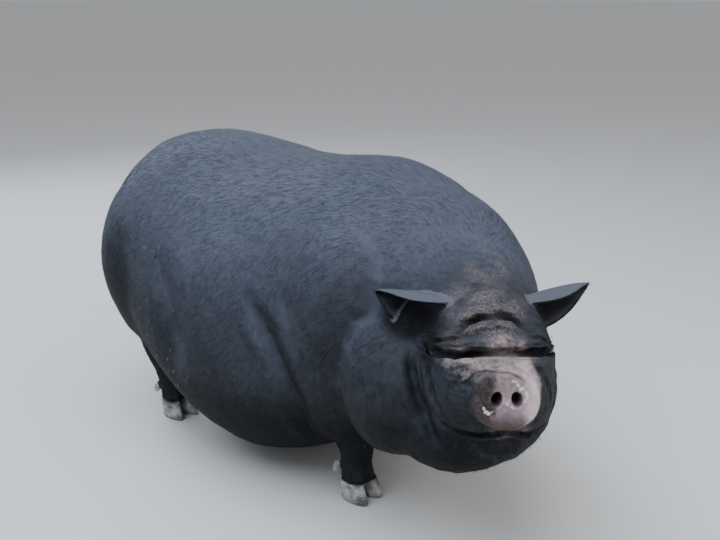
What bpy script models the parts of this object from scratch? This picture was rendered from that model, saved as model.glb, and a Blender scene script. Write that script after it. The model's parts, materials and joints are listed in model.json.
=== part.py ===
"""A standing pot bellied pig, life size, as a still museum model.

Metres, +Z up. The pig's trunk points along +X with its left side towards +Y.
Its head is turned to its right and lifted a little. The model is shaped whole,
as one skin, and then parted with thin cuts into the parts that a person names.
"""

import math
import random

import bmesh
import bpy
import numpy as np
from mathutils import Matrix, Vector
from mathutils.bvhtree import BVHTree

# Driving sizes, in metres and degrees. The forms are drawn a little large,
# and the last step brings them to the size of the real animal.
LIFE_SCALE = 0.92
WHEELBASE = 0.485
FORE_X = 0.23
HIND_X = FORE_X - WHEELBASE
TRACK = 0.130
STANCE = {1: -0.030, -1: 0.0}
SKIN_VOXEL = 0.006
FINE_VOXEL = 0.004
GAP = 0.00033
BODY_TRIANGLES = 3200
HEAD_TRIANGLES = 5000

# The head's own frame: +X out of the snout, +Y to the pig's left, +Z over the brow.
# Its origin is the middle of the snout's disc.
SNOUT_TIP = Vector((0.588, -0.248, 0.330))
HEAD_YAW = -47.0
HEAD_PITCH = 10.0

# The trunk from rump to chest: x, top, bottom, half width, height of the widest line.
TRUNK = (
    (-0.440, 0.415, 0.320, 0.055, 0.370),
    (-0.424, 0.470, 0.260, 0.120, 0.370),
    (-0.376, 0.530, 0.205, 0.178, 0.360),
    (-0.290, 0.570, 0.155, 0.222, 0.335),
    (-0.180, 0.568, 0.078, 0.254, 0.290),
    (-0.050, 0.550, 0.028, 0.268, 0.262),
    (0.070, 0.555, 0.026, 0.262, 0.262),
    (0.170, 0.562, 0.070, 0.238, 0.290),
    (0.260, 0.540, 0.120, 0.200, 0.315),
    (0.335, 0.490, 0.170, 0.145, 0.325),
    (0.370, 0.430, 0.240, 0.080, 0.335),
)

# The neck from inside the shoulders to the back of the skull:
# x, y, z of the middle, yaw, half width, reach up, reach down.
NECK = (
    (0.140, 0.000, 0.330, 0.0, 0.195, 0.205, 0.200),
    (0.235, -0.006, 0.335, -10.0, 0.193, 0.202, 0.190),
    (0.320, -0.032, 0.335, -24.0, 0.172, 0.184, 0.165),
    (0.390, -0.076, 0.330, -38.0, 0.136, 0.142, 0.145),
    (0.450, -0.125, 0.325, -47.0, 0.110, 0.105, 0.130),
)

JOWLS = {1: Vector((0.358, -0.040, 0.292)), -1: Vector((0.358, -0.190, 0.266))}
JOWL_RADII = {1: (0.086, 0.066, 0.090), -1: (0.096, 0.078, 0.104)}
SHOULDER = (Vector((0.200, 0.145, 0.310)), (0.130, 0.095, 0.190))
HAM = (Vector((-0.278, 0.135, 0.330)), (0.135, 0.100, 0.180))

# The head along its own axis: forward, top, bottom, half width, height of the widest line.
SKULL = (
    (-0.260, 0.060, -0.090, 0.070, -0.030),
    (-0.220, 0.105, -0.125, 0.098, -0.030),
    (-0.175, 0.130, -0.136, 0.100, -0.025),
    (-0.130, 0.130, -0.128, 0.094, -0.020),
    (-0.095, 0.106, -0.102, 0.086, -0.015),
    (-0.065, 0.077, -0.080, 0.075, -0.012),
    (-0.042, 0.059, -0.064, 0.062, -0.008),
    (-0.026, 0.051, -0.053, 0.054, -0.004),
    (-0.014, 0.042, -0.042, 0.043, -0.001),
)
JAW_MIDDLE = Vector((-0.080, 0.0, -0.064))
JAW_RADII = (0.066, 0.044, 0.031)
THROAT_MIDDLE = Vector((-0.160, -0.040, -0.082))
THROAT_RADII = (0.080, 0.090, 0.060)

# The snout's disc: forward, reach sideways, reach up, reach down.
DISC = (
    (-0.050, 0.042, 0.040, 0.034),
    (-0.020, 0.0425, 0.0405, 0.036),
    (-0.011, 0.0450, 0.0435, 0.039),
    (-0.004, 0.0450, 0.0435, 0.039),
    (0.000, 0.0415, 0.0400, 0.036),
)
NOSTRIL_SIDE = 0.0130
NOSTRIL_HEIGHT = 0.003
NOSTRIL_RADII = (0.022, 0.0066, 0.0092)

# Lines of the face, as sideways and height of points seen from the front of the head.
# Each fold is a line, its depth, its half width and the swell beside it. The cheek
# folds are made on both sides.
BROW_LINE = ((-0.056, 0.073), (-0.034, 0.089), (0.000, 0.097), (0.034, 0.089), (0.056, 0.073))
UPPER_LINE = ((-0.073, 0.054), (-0.056, 0.068), (0.000, 0.071), (0.056, 0.068), (0.073, 0.054))
SNOUT_LINE = ((-0.088, 0.042), (-0.064, 0.048), (0.000, 0.057), (0.064, 0.048), (0.088, 0.042))
RING_RIGHT = ((-0.070, -0.016), (-0.060, 0.016), (-0.040, 0.040), (0.000, 0.050))
RING_LEFT = ((0.070, -0.016), (0.060, 0.016), (0.040, 0.040), (0.000, 0.050))
FACE_FOLDS = (
    (BROW_LINE, 0.0075, 0.0065, 0.0025),
    (UPPER_LINE, 0.0045, 0.0045, 0.0015),
    (SNOUT_LINE, 0.0130, 0.0070, 0.0030),
    (RING_RIGHT, 0.0036, 0.0042, 0.0010),
    (RING_LEFT, 0.0036, 0.0042, 0.0010),
)
CHEEK_FOLDS = (
    (((0.112, 0.044), (0.108, 0.003), (0.092, -0.057), (0.075, -0.090)), 0.0110, 0.0080, 0.0020),
    (((0.090, 0.022), (0.087, -0.006), (0.077, -0.036)), 0.0055, 0.0055, 0.0012),
)
MOUTH = (
    (-0.076, -0.050),
    (-0.060, -0.056),
    (-0.040, -0.056),
    (-0.020, -0.050),
    (0.000, -0.045),
    (0.020, -0.050),
    (0.040, -0.056),
    (0.060, -0.056),
    (0.076, -0.050),
)
MOUTH_DEPTH = 0.0070
MOUTH_WIDTH = 0.0034
LIP_SWELL = 0.0015

# Folds of each flank, as x and height, then depth, half width and swell.
FLANK_FOLDS = (
    (((0.095, 0.370), (0.147, 0.293), (0.184, 0.186), (0.182, 0.115)), 0.0080, 0.0150, 0.0040),
    (((-0.130, 0.400), (-0.096, 0.322), (-0.084, 0.250), (-0.105, 0.160)), 0.0110, 0.0280, 0.0030),
)

# The cleft of the rump, as height of points down its middle, depth and half width.
CLEFT = (0.385, 0.330, 0.270, 0.210)
CLEFT_DEPTH = 0.022
CLEFT_WIDTH = 0.026
CLEFT_SWELL = 0.003

EYE_RADIUS = 0.0120
EYE_SIDE = 0.089
EYE_HEIGHT = 0.039
EYE_TURN = 48.0
EYE_DEPTH = 0.0122
EYE_BACK = -0.116
# Each lid, as its height at the middle of the eye and its swell.
LIDS = ((0.0075, 0.0032), (-0.0070, 0.0022))
LID_REACH = 0.0145
LID_WIDTH = 0.0040
SLIT_RADII = (0.012, 0.0096, 0.0042)

EAR_LENGTH = 0.089
EAR_WIDTH = {1: 0.106, -1: 0.116}
EAR_CUP = 0.028
EAR_ROWS = 9
EAR_STEPS = 12
EAR_THICK = (0.0056, 0.0030)
EAR_TIP_HALF = 0.0026
# How far the ear has turned towards its opening, in degrees, from its lower edge to
# its upper edge, which folds over like an eave.
EAR_TURNS = ((-1.0, -45.0), (0.0, 0.0), (0.25, 50.0), (0.5, 90.0), (1.0, 92.0))
# The share of those turns at the root and tip, and what is added halfway along.
EAR_EASE = (0.80, 0.22)
# How much further the folded edge reaches into the head, as a share of the length.
EAR_SLANT = 0.34
# How far the root is sunk in the head, as a share of the length.
EAR_SUNK = 0.12
EAR_AIM = {1: Vector((-0.32, 0.88, 0.28)), -1: Vector((-0.20, -0.94, 0.245))}
EAR_OPENING = {1: Vector((0.88, 0.0, -0.40)), -1: Vector((0.95, 0.0, -0.30))}
EAR_ROOT = {1: Vector((-0.172, 0.084, 0.102)), -1: Vector((-0.172, -0.084, 0.098))}

# For the fore and hind legs: where they stand, how far back the parting reaches,
# its top, how far the foot stands back, and how far the dewclaws stand back.
LEGS = {
    "fore": (FORE_X, 0.050, 0.134, 0.0, 0.004),
    "hind": (HIND_X, 0.100, 0.150, 0.004, 0.016),
}
SOLE = 0.010
ANKLE = 0.044
HOOF_LENGTH = 0.058
HOOF_WIDTH = 0.030

# The tail from its root to the hair at its end: x, y, z, radius.
TAIL = (
    (-0.395, 0.004, 0.455, 0.022),
    (-0.428, 0.004, 0.440, 0.016),
    (-0.448, 0.005, 0.415, 0.0120),
    (-0.456, 0.006, 0.370, 0.0095),
    (-0.455, 0.007, 0.320, 0.0080),
    (-0.451, 0.007, 0.275, 0.0070),
)
SWITCH_CORE = ((0.0, 1.0), (0.010, 1.05), (0.030, 0.7), (0.050, 0.3))
SWITCH_LOCKS = 9

# Planes and boxes of the cuts between the neck, the head and the snout.
NECK_CUT_X = 0.280
NECK_CUT_YAW = -20.0
HEAD_BACK = -0.245
SNOUT_CUT = ((-0.030, -0.07, -0.0415), (0.1, 0.07, 0.07))

SHARP = 55.0

HIDE = (0.030, 0.031, 0.036)
SNOUT_PINK = (0.300, 0.205, 0.180)
HORN = (0.130, 0.125, 0.120)
EYE_BROWN = (0.020, 0.012, 0.008)
BRISTLE = (0.018, 0.018, 0.020)


def clear_scene():
    for item in list(bpy.data.objects):
        bpy.data.objects.remove(item, do_unlink=True)


def frame(origin, yaw, pitch=0.0, roll=0.0):
    """A frame whose +X is turned by yaw and lifted by pitch, in degrees."""
    turn = Matrix.Rotation(math.radians(yaw), 4, "Z") @ Matrix.Rotation(math.radians(-pitch), 4, "Y")
    return Matrix.Translation(origin) @ turn @ Matrix.Rotation(math.radians(roll), 4, "X")


HEAD = frame(SNOUT_TIP, HEAD_YAW, HEAD_PITCH)


def spline_rows(rows, steps):
    """Rows read from a smooth curve through the given rows, steps to each span."""
    keys = np.array(rows, float)
    ends = np.vstack((2 * keys[0] - keys[1], keys, 2 * keys[-1] - keys[-2]))
    read = []
    for span in range(len(keys) - 1):
        a, b, c, d = ends[span : span + 4]
        for step in range(steps):
            t = step / steps
            read.append(
                b + 0.5 * t * (c - a + t * (2 * a - 5 * b + 4 * c - d + t * (3 * (b - c) + d - a)))
            )
    read.append(keys[-1])
    return read


def egg(half_width, up, down, fullness, segments, low_fullness=None):
    """An egg outline as (left, up) pairs round its widest line."""
    ring = []
    for i in range(segments):
        turn = 2 * math.pi * i / segments
        c, s = math.cos(turn), math.sin(turn)
        power = 2 / (low_fullness if s < 0 and low_fullness else fullness)
        left = half_width * math.copysign(abs(c) ** power, c)
        ring.append((left, (up if s > 0 else down) * math.copysign(abs(s) ** power, s)))
    return ring


def as_object(name, mesh):
    data = bpy.data.meshes.new(name)
    mesh.to_mesh(data)
    mesh.free()
    made = bpy.data.objects.new(name, data)
    bpy.context.scene.collection.objects.link(made)
    return made


def sheet(name, front, back):
    """A closed body between two grids of points that face each other."""
    mesh = bmesh.new()
    rings = [[mesh.verts.new(p) for p in f + b[::-1]] for f, b in zip(front, back)]
    count = len(rings[0])
    for near, far in zip(rings, rings[1:]):
        for i in range(count):
            j = (i + 1) % count
            mesh.faces.new((near[i], near[j], far[j], far[i]))
    for ring in (rings[0], rings[-1]):
        for i in range(count // 2 - 1):
            mesh.faces.new((ring[i], ring[i + 1], ring[count - 2 - i], ring[count - 1 - i]))
    bmesh.ops.recalc_face_normals(mesh, faces=mesh.faces)
    return as_object(name, mesh)


def loft(name, rings):
    """A closed body through rings of points, with a pole at each end."""
    mesh = bmesh.new()
    made = [[mesh.verts.new(p) for p in ring] for ring in rings]
    count = len(rings[0])
    for near, far in zip(made, made[1:]):
        for i in range(count):
            j = (i + 1) % count
            mesh.faces.new((near[i], near[j], far[j], far[i]))
    for ring in (made[0], made[-1]):
        pole = mesh.verts.new(sum((v.co for v in ring), Vector()) / count)
        for i in range(count):
            mesh.faces.new((ring[i], ring[(i + 1) % count], pole))
    bmesh.ops.recalc_face_normals(mesh, faces=mesh.faces)
    return as_object(name, mesh)


def ellipsoid(name, radii, place, segments=32):
    mesh = bmesh.new()
    size = Matrix.Diagonal((*radii, 1.0))
    bmesh.ops.create_uvsphere(
        mesh, u_segments=segments, v_segments=segments // 2, radius=1.0, matrix=place @ size
    )
    bmesh.ops.recalc_face_normals(mesh, faces=mesh.faces)
    return as_object(name, mesh)


def box(name, low, high, place):
    mesh = bmesh.new()
    middle = (Vector(low) + Vector(high)) / 2
    size = Matrix.Diagonal((*(Vector(high) - Vector(low)), 1.0))
    bmesh.ops.create_cube(mesh, size=1.0, matrix=place @ Matrix.Translation(middle) @ size)
    bmesh.ops.recalc_face_normals(mesh, faces=mesh.faces)
    return as_object(name, mesh)


def apply_modifiers(body):
    """Gives the object the mesh that its modifiers make."""
    graph = bpy.context.evaluated_depsgraph_get()
    data = bpy.data.meshes.new_from_object(body.evaluated_get(graph))
    body.modifiers.clear()
    body.data = data


def keep_largest(body):
    """Keeps the largest closed surface of a mesh."""
    mesh = bmesh.new()
    mesh.from_mesh(body.data)
    left = set(mesh.verts)
    groups = []
    while left:
        seed = left.pop()
        group, edge_of = {seed}, [seed]
        while edge_of:
            for edge in edge_of.pop().link_edges:
                for vert in edge.verts:
                    if vert not in group:
                        group.add(vert)
                        edge_of.append(vert)
        left -= group
        groups.append(group)
    groups.sort(key=lambda g: -spread(g))
    for group in groups[1:]:
        bmesh.ops.delete(mesh, geom=list(group), context="VERTS")
    mesh.to_mesh(body.data)
    mesh.free()


def spread(group):
    low = [min(v.co[i] for v in group) for i in range(3)]
    high = [max(v.co[i] for v in group) for i in range(3)]
    return sum((b - a) ** 2 for a, b in zip(low, high))


def carve(body, cutter, operation="DIFFERENCE", keep_cutter=False):
    """One Boolean of a body with a cutter, applied, with its largest body kept."""
    cut = body.modifiers.new("cut", "BOOLEAN")
    cut.operation = operation
    cut.solver = "EXACT"
    cut.object = cutter
    apply_modifiers(body)
    keep_largest(body)
    if not keep_cutter:
        bpy.data.objects.remove(cutter, do_unlink=True)


def column(name, low, high, place):
    """An upright column with an oval outline that fills the given box."""
    mesh = bmesh.new()
    middle = (Vector(low) + Vector(high)) / 2
    size = Matrix.Diagonal((*(Vector(high) - Vector(low)), 1.0))
    bmesh.ops.create_cone(
        mesh,
        cap_ends=True,
        segments=20,
        radius1=0.5,
        radius2=0.5,
        depth=1.0,
        matrix=place @ Matrix.Translation(middle) @ size,
    )
    bmesh.ops.recalc_face_normals(mesh, faces=mesh.faces)
    return as_object(name, mesh)


def part_off(body, name, low, high, place, outline=box):
    """Parts the material inside an outline from the body, and leaves a thin gap."""
    piece = bpy.data.objects.new(name, body.data.copy())
    bpy.context.scene.collection.objects.link(piece)
    carve(piece, outline("inner", low, high, place), "INTERSECT")
    wider = Vector((GAP, GAP, GAP))
    carve(body, outline("outer", Vector(low) - wider, Vector(high) + wider, place))
    return piece


def grown(body, amount):
    """A copy of a body grown along its normals."""
    copy = bpy.data.objects.new("grown", body.data.copy())
    bpy.context.scene.collection.objects.link(copy)
    points, normals = read_points(copy)
    write_points(copy, points + normals * amount)
    return copy


def fit_against(piece, body):
    """Trims a piece so that a thin gap stays between it and the body."""
    carve(piece, grown(body, GAP))


def fuse(name, pieces, voxel):
    """One closed skin round overlapping closed pieces."""
    mesh = bmesh.new()
    for piece in pieces:
        mesh.from_mesh(piece.data)
        bpy.data.objects.remove(piece, do_unlink=True)
    body = as_object(name, mesh)
    remesh = body.modifiers.new("skin", "REMESH")
    remesh.mode = "VOXEL"
    remesh.voxel_size = voxel
    apply_modifiers(body)
    return body


def read_points(body):
    """The points of a mesh and their normals, as arrays."""
    points = np.empty(len(body.data.vertices) * 3)
    normals = np.empty(len(points))
    body.data.vertices.foreach_get("co", points)
    body.data.vertices.foreach_get("normal", normals)
    return points.reshape(-1, 3), normals.reshape(-1, 3)


def write_points(body, points):
    body.data.vertices.foreach_set("co", points.ravel())
    body.data.update()


def soften(body, rounds, where=None):
    """Rounds of smoothing, over the whole mesh or by the share of each point."""
    points, _ = read_points(body)
    edges = np.empty(len(body.data.edges) * 2, int)
    body.data.edges.foreach_get("vertices", edges)
    edges = edges.reshape(-1, 2)
    ends = np.concatenate((edges[:, 0], edges[:, 1]))
    others = np.concatenate((edges[:, 1], edges[:, 0]))
    near = np.bincount(ends, minlength=len(points))[:, None]
    share = 0.5 if where is None else 0.5 * where[:, None]
    for _ in range(rounds):
        total = np.stack(
            [np.bincount(ends, weights=points[others, i], minlength=len(points)) for i in range(3)], 1
        )
        points += share * (total / near - points)
    write_points(body, points)


def in_head(points):
    """Points in the head's own frame."""
    back = np.array(HEAD.inverted())
    return points @ back[:3, :3].T + back[:3, 3]


def head_share(points):
    """1 on the front of the head, falling to 0 behind the ears."""
    local = in_head(points)
    return np.clip((local[:, 0] + 0.200) / 0.030, 0, 1) * (np.abs(local[:, 1]) < 0.14)


def refine_head(body):
    """Splits the faces of the head so that fine folds can be pressed into it."""
    mesh = bmesh.new()
    mesh.from_mesh(body.data)
    back = HEAD.inverted()
    chosen = set()
    for edge in mesh.edges:
        middle = back @ ((edge.verts[0].co + edge.verts[1].co) / 2)
        if middle.x > -0.150 and abs(middle.y) < 0.130:
            chosen.add(edge)
    bmesh.ops.subdivide_edges(mesh, edges=list(chosen), cuts=1, use_grid_fill=True)
    bmesh.ops.triangulate(mesh, faces=mesh.faces)
    mesh.to_mesh(body.data)
    mesh.free()


def press(points, normals, path, depth, width, swell, open_ends=True):
    """Presses a soft groove along a path, with a swell on each side of it."""
    path = np.array(path)
    reach = 4 * width
    near = np.all((points > path.min(0) - reach) & (points < path.max(0) + reach), axis=1)
    chosen = np.nonzero(near)[0]
    steps = path[1:] - path[:-1]
    offset = points[chosen][:, None] - path[None, :-1]
    along = np.clip((offset * steps).sum(2) / (steps * steps).sum(1), 0, 1)
    away = np.linalg.norm(offset - along[:, :, None] * steps, axis=2)
    closest = away.argmin(1)
    rows = np.arange(len(chosen))
    gap = away[rows, closest]
    place = (closest + along[rows, closest]) / len(steps)
    fade = np.clip(4 * np.minimum(place, 1 - place), 0, 1) ** 0.7 if open_ends else 1.0
    push = swell * np.exp(-(((gap - 2 * width) / width) ** 2)) - depth * np.exp(-((gap / width) ** 2))
    points[chosen] += normals[chosen] * (fade * push)[:, None]


def seen_from_front(tree, pairs, steps=6):
    """Sideways and height pairs laid on the face from in front of the head."""
    path = []
    ahead = (HEAD.to_3x3() @ Vector((-1, 0, 0))).normalized()
    for side, height in spline_rows(pairs, steps):
        hit = tree.ray_cast(HEAD @ Vector((0.3, side, height)), ahead)[0]
        if hit:
            path.append(hit)
    return path


def seen_from_side(tree, pairs, side, steps=6):
    path = []
    for x, z in spline_rows(pairs, steps):
        hit = tree.ray_cast(Vector((x, side * 0.6, z)), Vector((0, -side, 0)))[0]
        if hit:
            path.append(hit)
    return path


def tree_of(body):
    return BVHTree.FromObject(body, bpy.context.evaluated_depsgraph_get())


def trunk():
    rings = []
    for x, top, bottom, half, middle in spline_rows(TRUNK, 5):
        ring = egg(half, top - middle, middle - bottom, 2.25, 48, 2.7)
        rings.append([Vector((x, left, middle + up)) for left, up in ring])
    return loft("trunk", rings)


def neck():
    rings = []
    for x, y, z, yaw, half, up, down in spline_rows(NECK, 6):
        place = frame((x, y, z), yaw)
        ring = egg(half, up, down, 2.2, 40)
        rings.append([place @ Vector((0, left, height)) for left, height in ring])
    return loft("neck", rings)


def skull():
    rings = []
    for forward, top, bottom, half, middle in spline_rows(SKULL, 5):
        ring = egg(half, top - middle, middle - bottom, 2.3, 40, 1.85)
        rings.append([HEAD @ Vector((forward, left, middle + up)) for left, up in ring])
    return loft("skull", rings)


def disc():
    rings = []
    for forward, half, up, down in spline_rows(DISC, 3):
        ring = egg(half, up, down, 2.2, 40)
        rings.append([HEAD @ Vector((forward, left, height)) for left, height in ring])
    return loft("disc", rings)


def limb(rows):
    """A leg through rows of x, y, z, radius fore and aft, radius across."""
    rings = []
    turns = np.linspace(0, 2 * math.pi, 24, endpoint=False)
    for x, y, z, fore, across in spline_rows(rows, 5):
        rings.append([Vector((x + fore * math.cos(t), y + across * math.sin(t), z)) for t in turns])
    return loft("limb", rings)


def foreleg(side, x, y):
    return limb(
        (
            (x - 0.020, y - side * 0.010, 0.300, 0.075, 0.060),
            (x - 0.030, y, 0.200, 0.060, 0.052),
            (x - 0.005, y, 0.125, 0.038, 0.036),
            (x, y, 0.085, 0.031, 0.029),
            (x - 0.001, y, 0.070, 0.030, 0.029),
            (x + 0.002, y, 0.052, 0.033, 0.033),
            (x + 0.006, y, 0.025, 0.032, 0.033),
        )
    )


def hindleg(side, x, y):
    return limb(
        (
            (x, y - side * 0.005, 0.330, 0.110, 0.085),
            (x - 0.018, y, 0.220, 0.076, 0.062),
            (x - 0.046, y, 0.150, 0.042, 0.038),
            (x - 0.034, y, 0.105, 0.030, 0.028),
            (x - 0.022, y, 0.076, 0.028, 0.027),
            (x - 0.012, y, 0.055, 0.031, 0.031),
            (x - 0.002, y, 0.025, 0.031, 0.032),
        )
    )


def base_forms():
    jaw = ellipsoid("jaw", JAW_RADII, HEAD @ frame(JAW_MIDDLE, 0, -3))
    throat = ellipsoid("throat", THROAT_RADII, HEAD @ frame(THROAT_MIDDLE, 0))
    pieces = [trunk(), neck(), skull(), jaw, throat]
    for side in (1, -1):
        pieces.append(foreleg(side, FORE_X + STANCE[side], side * TRACK))
        pieces.append(hindleg(side, HIND_X - STANCE[side], side * TRACK))
        pieces.append(ellipsoid("jowl", JOWL_RADII[side], frame(JOWLS[side], HEAD_YAW / 2)))
        for name, (middle, radii) in (("shoulder", SHOULDER), ("ham", HAM)):
            place = frame((middle.x, side * middle.y, middle.z), 0)
            pieces.append(ellipsoid(name, radii, place))
    return pieces


def eye_centre(tree, side):
    """Where an eye lies, found from the skin in front of it."""
    aim = (HEAD @ frame((0, 0, 0), side * EYE_TURN)).to_3x3() @ Vector((1, 0, 0))
    aim.normalize()
    start = HEAD @ Vector((EYE_BACK, side * EYE_SIDE, EYE_HEIGHT)) + aim * 0.1
    hit = tree.ray_cast(start, -aim)[0]
    return hit - aim * EYE_DEPTH, aim


def fold_skin(body):
    """Presses the folds of the face, cheeks and flanks, and the mouth."""
    tree = tree_of(body)
    points, normals = read_points(body)
    for pairs, depth, width, swell in FACE_FOLDS:
        press(points, normals, seen_from_front(tree, pairs), depth, width, swell)
    for pairs, depth, width, swell in CHEEK_FOLDS:
        for side in (1, -1):
            path = seen_from_front(tree, [(side * a, b) for a, b in pairs])
            press(points, normals, path, depth, width, swell)
    for pairs, depth, width, swell in FLANK_FOLDS:
        for side in (1, -1):
            press(points, normals, seen_from_side(tree, pairs, side), depth, width, swell)
    cleft = [tree.ray_cast(Vector((-0.8, 0, z)), Vector((1, 0, 0)))[0] for z in CLEFT]
    press(points, normals, cleft, CLEFT_DEPTH, CLEFT_WIDTH, CLEFT_SWELL)
    press(points, normals, seen_from_front(tree, MOUTH), MOUTH_DEPTH, MOUTH_WIDTH, LIP_SWELL)
    write_points(body, points)


def raise_lids(body, eyes):
    """Swells a lid above and below each eye."""
    points, normals = read_points(body)
    for centre, aim in eyes:
        place = looking(centre, aim)
        for rise, swell in LIDS:
            arc = []
            for across in np.linspace(-LID_REACH, LID_REACH, 9):
                height = rise * math.cos(across / LID_REACH * math.pi / 2)
                arc.append(place @ Vector((EYE_RADIUS, across, height)))
            press(points, normals, arc, -swell, LID_WIDTH, 0.0)
    write_points(body, points)


def thin_out(body):
    """Brings the skin down to its count of triangles, more of them on the head."""
    whole = body.data
    mesh = bmesh.new()
    mesh.from_mesh(whole)
    bmesh.ops.triangulate(mesh, faces=mesh.faces)
    mesh.to_mesh(whole)
    mesh.free()
    points, _ = read_points(body)
    on_head = head_share(points) > 0.5
    corners = np.empty(len(whole.loops), int)
    whole.loops.foreach_get("vertex_index", corners)
    head_faces = int(on_head[corners.reshape(-1, 3)].all(1).sum())
    collapse(body, ~on_head, BODY_TRIANGLES + head_faces)
    points, _ = read_points(body)
    collapse(body, head_share(points) > 0.5, BODY_TRIANGLES + HEAD_TRIANGLES)


def collapse(body, chosen, target):
    """Collapses edges between the chosen points until the count is reached."""
    group = body.vertex_groups.new(name="thin")
    group.add(np.nonzero(chosen)[0].tolist(), 1.0, "REPLACE")
    thin = body.modifiers.new("thin", "DECIMATE")
    thin.ratio = target / len(body.data.polygons)
    thin.vertex_group = "thin"
    thin.vertex_group_factor = 100.0
    apply_modifiers(body)
    body.vertex_groups.clear()


def looking(centre, aim):
    """A frame at an eye whose +X looks along its aim."""
    return Matrix.Translation(centre) @ aim.to_track_quat("X", "Z").to_matrix().to_4x4()


def cut_eyes(head, eyes):
    """Opens a slit between the lids and a round socket behind it."""
    for centre, aim in eyes:
        place = looking(centre, aim)
        slit = place @ Matrix.Translation((EYE_RADIUS, 0, 0.0005))
        carve(head, ellipsoid("slit", SLIT_RADII, slit, 16))
        carve(head, ellipsoid("socket", (EYE_RADIUS + GAP,) * 3, place, 16))


def eyeball(name, centre, aim):
    return ellipsoid(name, (EYE_RADIUS,) * 3, looking(centre, aim), 16)


def ear_section(half, ease):
    """Points across an ear as (place, up, forward, turn), from its lower edge."""
    count = EAR_STEPS
    spots = np.linspace(-1, 1, count + 1)
    keys = np.array(EAR_TURNS)
    turns = np.radians(np.interp(spots, keys[:, 0], keys[:, 1])) * ease
    steps = np.radians(np.interp((spots[1:] + spots[:-1]) / 2, keys[:, 0], keys[:, 1])) * ease
    up = np.concatenate(((0,), np.cumsum(np.cos(steps)))) * half * 2 / count
    forward = np.concatenate(((0,), np.cumsum(np.sin(steps)))) * half * 2 / count
    middle = count // 2
    return zip(spots, up - up[middle], forward - forward[middle], turns)


def ear(side):
    """A cupped leaf whose upper edge folds over, its root sunk in the head."""
    root = HEAD @ EAR_ROOT[side]
    length = (HEAD.to_3x3() @ EAR_AIM[side]).normalized()
    opening = (HEAD.to_3x3() @ EAR_OPENING[side]).normalized()
    upward = length.cross(opening).normalized() * -side
    opening = (opening - length * opening.dot(length)).normalized()
    front, back = [], []
    for row in range(EAR_ROWS + 1):
        t = row / EAR_ROWS
        half = EAR_WIDTH[side] / 2 * (0.90 + 0.35 * t) * (1 - t**1.6) ** 0.9
        half = max(half, EAR_TIP_HALF)
        thick = EAR_THICK[0] + (EAR_THICK[1] - EAR_THICK[0]) * t
        ease = EAR_EASE[0] + EAR_EASE[1] * math.sin(math.pi * t)
        line = root + length * (EAR_LENGTH * (t - EAR_SUNK)) + opening * (0.014 * t * t - EAR_CUP / 2)
        rim_front, rim_back = [], []
        for spot, up, forward, turn in ear_section(half, ease):
            inward = EAR_SLANT * EAR_LENGTH * max(spot, 0) * (1 - t) ** 2
            middle = line + upward * up + opening * forward - length * inward
            facing = opening * math.cos(turn) - upward * math.sin(turn)
            rim_front.append(middle + facing * (thick / 2))
            rim_back.append(middle - facing * (thick / 2))
        front.append(rim_front)
        back.append(rim_back)
    return sheet("ear", front, back)


def toe_ring(place, length, width, z, point):
    """The outline of a hoof's toe at one height, narrower at the front."""
    ring = []
    for i in range(14):
        turn = 2 * math.pi * i / 14
        c, s = math.cos(turn), math.sin(turn)
        fore = length / 2 * math.copysign(abs(c) ** 0.8, c)
        ring.append(place @ Vector((fore, width / 2 * s * (1 - point * (c + 0.2)), z)))
    return ring


def toe(x, y, yaw):
    """One toe of a cloven hoof, on a flat sole."""
    rings = []
    for z, length, width, shift in (
        (SOLE, 0.92, 0.92, 0.000),
        (SOLE + 0.003, 1.00, 1.00, 0.000),
        (SOLE + 0.018, 0.94, 0.99, -0.003),
        (ANKLE - GAP, 0.84, 0.94, -0.007),
    ):
        place = frame((x, y, 0), yaw) @ Matrix.Translation((shift, 0, 0))
        rings.append(toe_ring(place, HOOF_LENGTH * length, HOOF_WIDTH * width, z, 0.28))
    return loft("toe", rings)


def dewclaw(x, y, side):
    """A small claw behind the pastern, clear of the floor."""
    rows = (
        (x - 0.018, y + side * 0.014, 0.074, 0.0090, 0.0080),
        (x - 0.025, y + side * 0.015, 0.066, 0.0100, 0.0085),
        (x - 0.029, y + side * 0.016, 0.057, 0.0085, 0.0070),
        (x - 0.031, y + side * 0.016, 0.051, 0.0050, 0.0045),
    )
    rings = []
    turns = np.linspace(0, 2 * math.pi, 8, endpoint=False)
    for px, py, z, fore, across in spline_rows(rows, 1):
        rings.append([Vector((px + fore * math.cos(t), py + across * math.sin(t), z)) for t in turns])
    return loft("dewclaw", rings)


def tail():
    rings = []
    turns = np.linspace(0, 2 * math.pi, 10, endpoint=False)
    for x, y, z, radius in spline_rows(TAIL, 3):
        rings.append([Vector((x + radius * math.cos(t), y + radius * math.sin(t), z)) for t in turns])
    return loft("tail", rings)


def lock(root, turn, length, width, spread_out, sway):
    """One flat, tapered, bent lock of hair as a closed body."""
    rings = []
    side = Vector((math.cos(turn), math.sin(turn), 0))
    across = Vector((-side.y, side.x, 0))
    for step in range(5):
        t = step / 4
        middle = root + side * (spread_out * t * (1 - 0.35 * t)) + across * (sway * t * t)
        middle += Vector((0, 0, -length * t))
        half = width * (0.75 + 0.9 * t * (1 - t)) * (1 - 0.92 * t * t)
        thick = 0.0022 * (1 - 0.75 * t)
        rings.append(
            [
                middle + across * half,
                middle + side * thick,
                middle - across * half,
                middle - side * thick,
            ]
        )
    return loft("lock", rings)


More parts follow.
